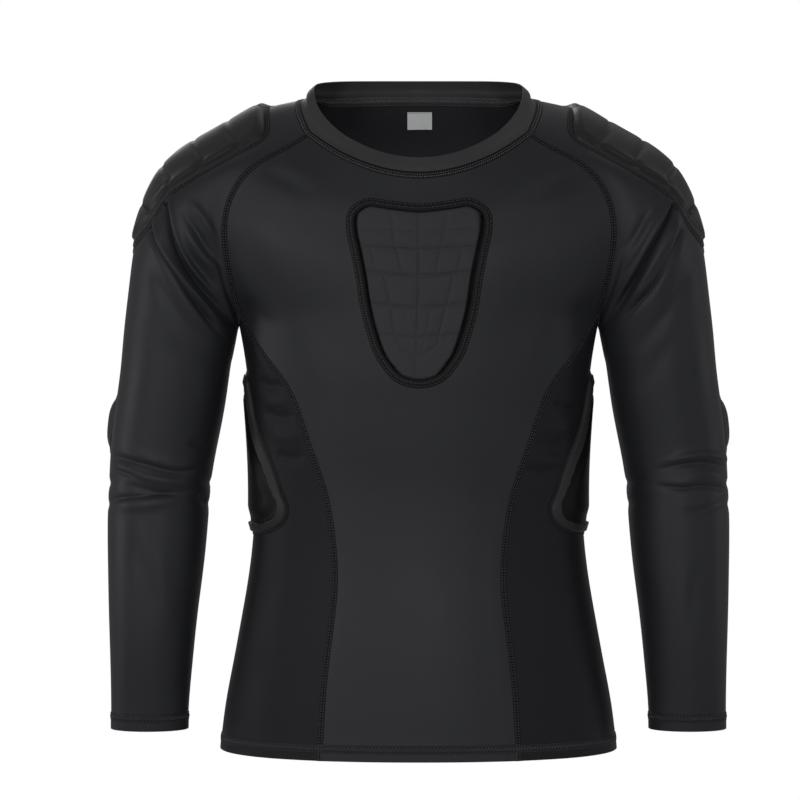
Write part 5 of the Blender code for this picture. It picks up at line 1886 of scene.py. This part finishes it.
r_shares = [0.0] + [(r + 1) / R_RINGS for r in range(R_RINGS)]
r_pts = [rib_place(0.0, (0.0, RIB_MIDDLE))] + [rib_place(s, e) for s in r_shares[1:]
                                             for e in r_outline.tolist()]
for side, right in (("left", False), ("right", True)):
    low, nn = place_left(r_pts, right)
    em = edge_mm(low, R_TURNS, R_RINGS)
    border = smoothstep(0.0, 1.3, em) * 2.2
    bevel = 2.4 * np.clip((em - 1.0) / 7.0, 0, 1)
    step_ = -2.2 * smoothstep(8.0, 9.0, em)
    face = 2.7 * smoothstep(10.0, 24.0, em)
    height = 0.4 + border + bevel + step_ + face
    height[-R_TURNS:] = 0.3
    ob = pad_mesh("rib_cap_" + side, low + nn * 0.1, nn, height, R_RINGS, R_TURNS, RIB_COVER)
    ob.data.materials.append(RIB_BORDER)
    for poly in ob.data.polygons:
        if all(v < len(em) and em[v] < 8.4 for v in poly.vertices):
            poly.material_index = 1
    keep(ob, "pad_cover")
    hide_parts("rib_pad_" + side)
    st = Stitches()
    P, N = resample(np.concatenate([low[-R_TURNS:], low[-R_TURNS:][:1]]),
                    np.concatenate([nn[-R_TURNS:], nn[-R_TURNS:][:1]]), 2.0, True)
    T, B = side_of(P, N, True)
    sign = 1.0 if (B * (P - low[0])).sum(1).mean() > 0 else -1.0
    keep(ribbon("rib_seam_" + side, SKIN, P, N,
                [(sign * o, h) for o, h in ((-0.5, 0.0), (-0.2, 0.5), (0.8, 0.45), (1.7, 0.36), (2.2, 0.0))],
                SEAM_CLOTH_AND_GAP_SHADE, True))
    braid(st, SKIN, P, N, True, sign * 1.0, 0.55, 1.9, 0.55, 0.3, 0.46, 0.9)
    keep(st.make("stitch_rib_" + side, THREAD))

# ---- label inside the back neck: bare satin, stitched along its top
BACK_IN = piece_skin("back_panel")
nx, nz = 28, 18
grid = []
for r in range(nz + 1):
    for c in range(nx + 1):
        grid.append((LABEL_X - LABEL_WIDE / 2 + LABEL_WIDE * c / nx, 300.0, LABEL_TOP - LABEL_TALL * r / nz))
loc, nn = BACK_IN.ahead(np.array(grid), (0, -1, 0))
u = np.tile(np.arange(nx + 1) / nx, nz + 1)
v = np.repeat(np.arange(nz + 1) / nz, nx + 1)
hang = WALL_LOOK + 1.0 + 0.9 * v ** 1.5 + 0.35 * np.sin(u * 5.0 + 0.6) * v + 0.3 * (2 * u - 1) ** 2 * v
near_ = loc - nn * (hang + 0.22)[:, None]
far_ = loc - nn * (hang - 0.22)[:, None]
faces = []
for r in range(nz):
    for c in range(nx):
        a = r * (nx + 1) + c
        faces.append((a, a + nx + 1, a + nx + 2, a + 1))
count = len(near_)
ways = {(f[i], f[(i + 1) % 4]) for f in faces for i in range(4)}
allf = faces + [tuple(w + count for w in reversed(f)) for f in faces]
for a, b in sorted(ways):
    if (b, a) not in ways:
        allf.append((b, a, a + count, b + count))
label = new_mesh("neck_label", np.concatenate([near_, far_]), allf, SATIN, sharp=50)
fix_out(label)
keep(label, "label")
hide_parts("size_label")
st = Stitches()
top = near_[nx + 1 + 1: 2 * (nx + 1) - 1]
topn = -nn[nx + 1 + 1: 2 * (nx + 1) - 1]
a_ = top[:-1:2]
b_ = top[1::2][:len(a_)]
st.add(a_[:len(b_)], b_, topn[:-1:2][:len(b_)], 0.5, 0.2, 0.05)
keep(st.make("stitch_label", THREAD))

# =====================================================================
# Stage and light
# =====================================================================
def plain(name, colour, rough, glow=0.0):
    m = bpy.data.materials.new(name)
    m.use_nodes = True
    b = m.node_tree.nodes["Principled BSDF"]
    b.inputs["Base Color"].default_value = (*colour, 1.0)
    b.inputs["Roughness"].default_value = rough
    b.inputs["Specular IOR Level"].default_value = 0.1
    b.inputs["Emission Color"].default_value = (1.0, 1.0, 1.0, 1.0)
    b.inputs["Emission Strength"].default_value = glow
    return m


# a plain white surround, seen but giving no light and no reflections
ROUND, TALL, FAR = 36, 18, 4600.0
pts, faces = [(0.0, 0.0, -FAR), (0.0, 0.0, FAR)], []
for r in range(1, TALL):
    e = math.pi * r / TALL - math.pi / 2
    pts += [(FAR * math.cos(e) * math.cos(2 * math.pi * c / ROUND),
             FAR * math.cos(e) * math.sin(2 * math.pi * c / ROUND), FAR * math.sin(e)) for c in range(ROUND)]
for c in range(ROUND):
    d = (c + 1) % ROUND
    faces.append((0, 2 + c, 2 + d))
    for r in range(TALL - 2):
        o = 2 + r * ROUND
        faces.append((o + c, o + ROUND + c, o + ROUND + d, o + d))
    o = 2 + (TALL - 2) * ROUND
    faces.append((o + c, 1, o + d))
floor = new_mesh("studio_surround", np.array(pts), faces, plain("studio_white", (0.0, 0.0, 0.0), 1.0, 1.0))
floor.visible_diffuse = False
floor.visible_glossy = False
floor.visible_shadow = False
floor.visible_transmission = False


def area(name, place, aim, size, watts, colour=(1, 1, 1)):
    light = bpy.data.lights.new(name, "AREA")
    light.shape = "RECTANGLE"
    light.size, light.size_y = size
    light.energy = watts
    light.color = colour
    ob = bpy.data.objects.new(name, light)
    bpy.context.scene.collection.objects.link(ob)
    ob.location = Vector(place)
    ob.rotation_euler = (Vector(aim) - Vector(place)).to_track_quat("-Z", "Y").to_euler()
    return ob


area("key", (-1.4, -2.0, 0.20), (0.0, 0.0, -0.28), (0.8, 1.2), 9.5)
area("strip", (-1.9, -0.15, -0.22), (-0.2, 0.0, -0.30), (0.25, 0.5), 3.6)
area("strip_far", (1.9, 0.15, -0.20), (0.2, 0.0, -0.26), (0.25, 0.7), 1.4)
area("fill", (1.9, -1.8, 0.0), (0.0, 0.0, -0.3), (0.8, 1.4), 2.4)
area("front", (0.1, -2.7, 0.05), (0.0, 0.0, -0.32), (1.1, 0.8), 9.5)
area("rear", (0.3, 1.1, 1.0), (0.0, 0.1, -0.25), (1.2, 0.5), 0.8)
area("behind", (-0.7, 2.4, 1.0), (0.0, 0.0, -0.28), (1.2, 1.0), 9)

world = bpy.data.worlds.new("studio")
bpy.context.scene.world = world
world.use_nodes = True
world.node_tree.nodes["Background"].inputs["Color"].default_value = (1.0, 1.0, 1.0, 1.0)
world.node_tree.nodes["Background"].inputs["Strength"].default_value = 0.255
bpy.context.scene.view_settings.view_transform = "Standard"
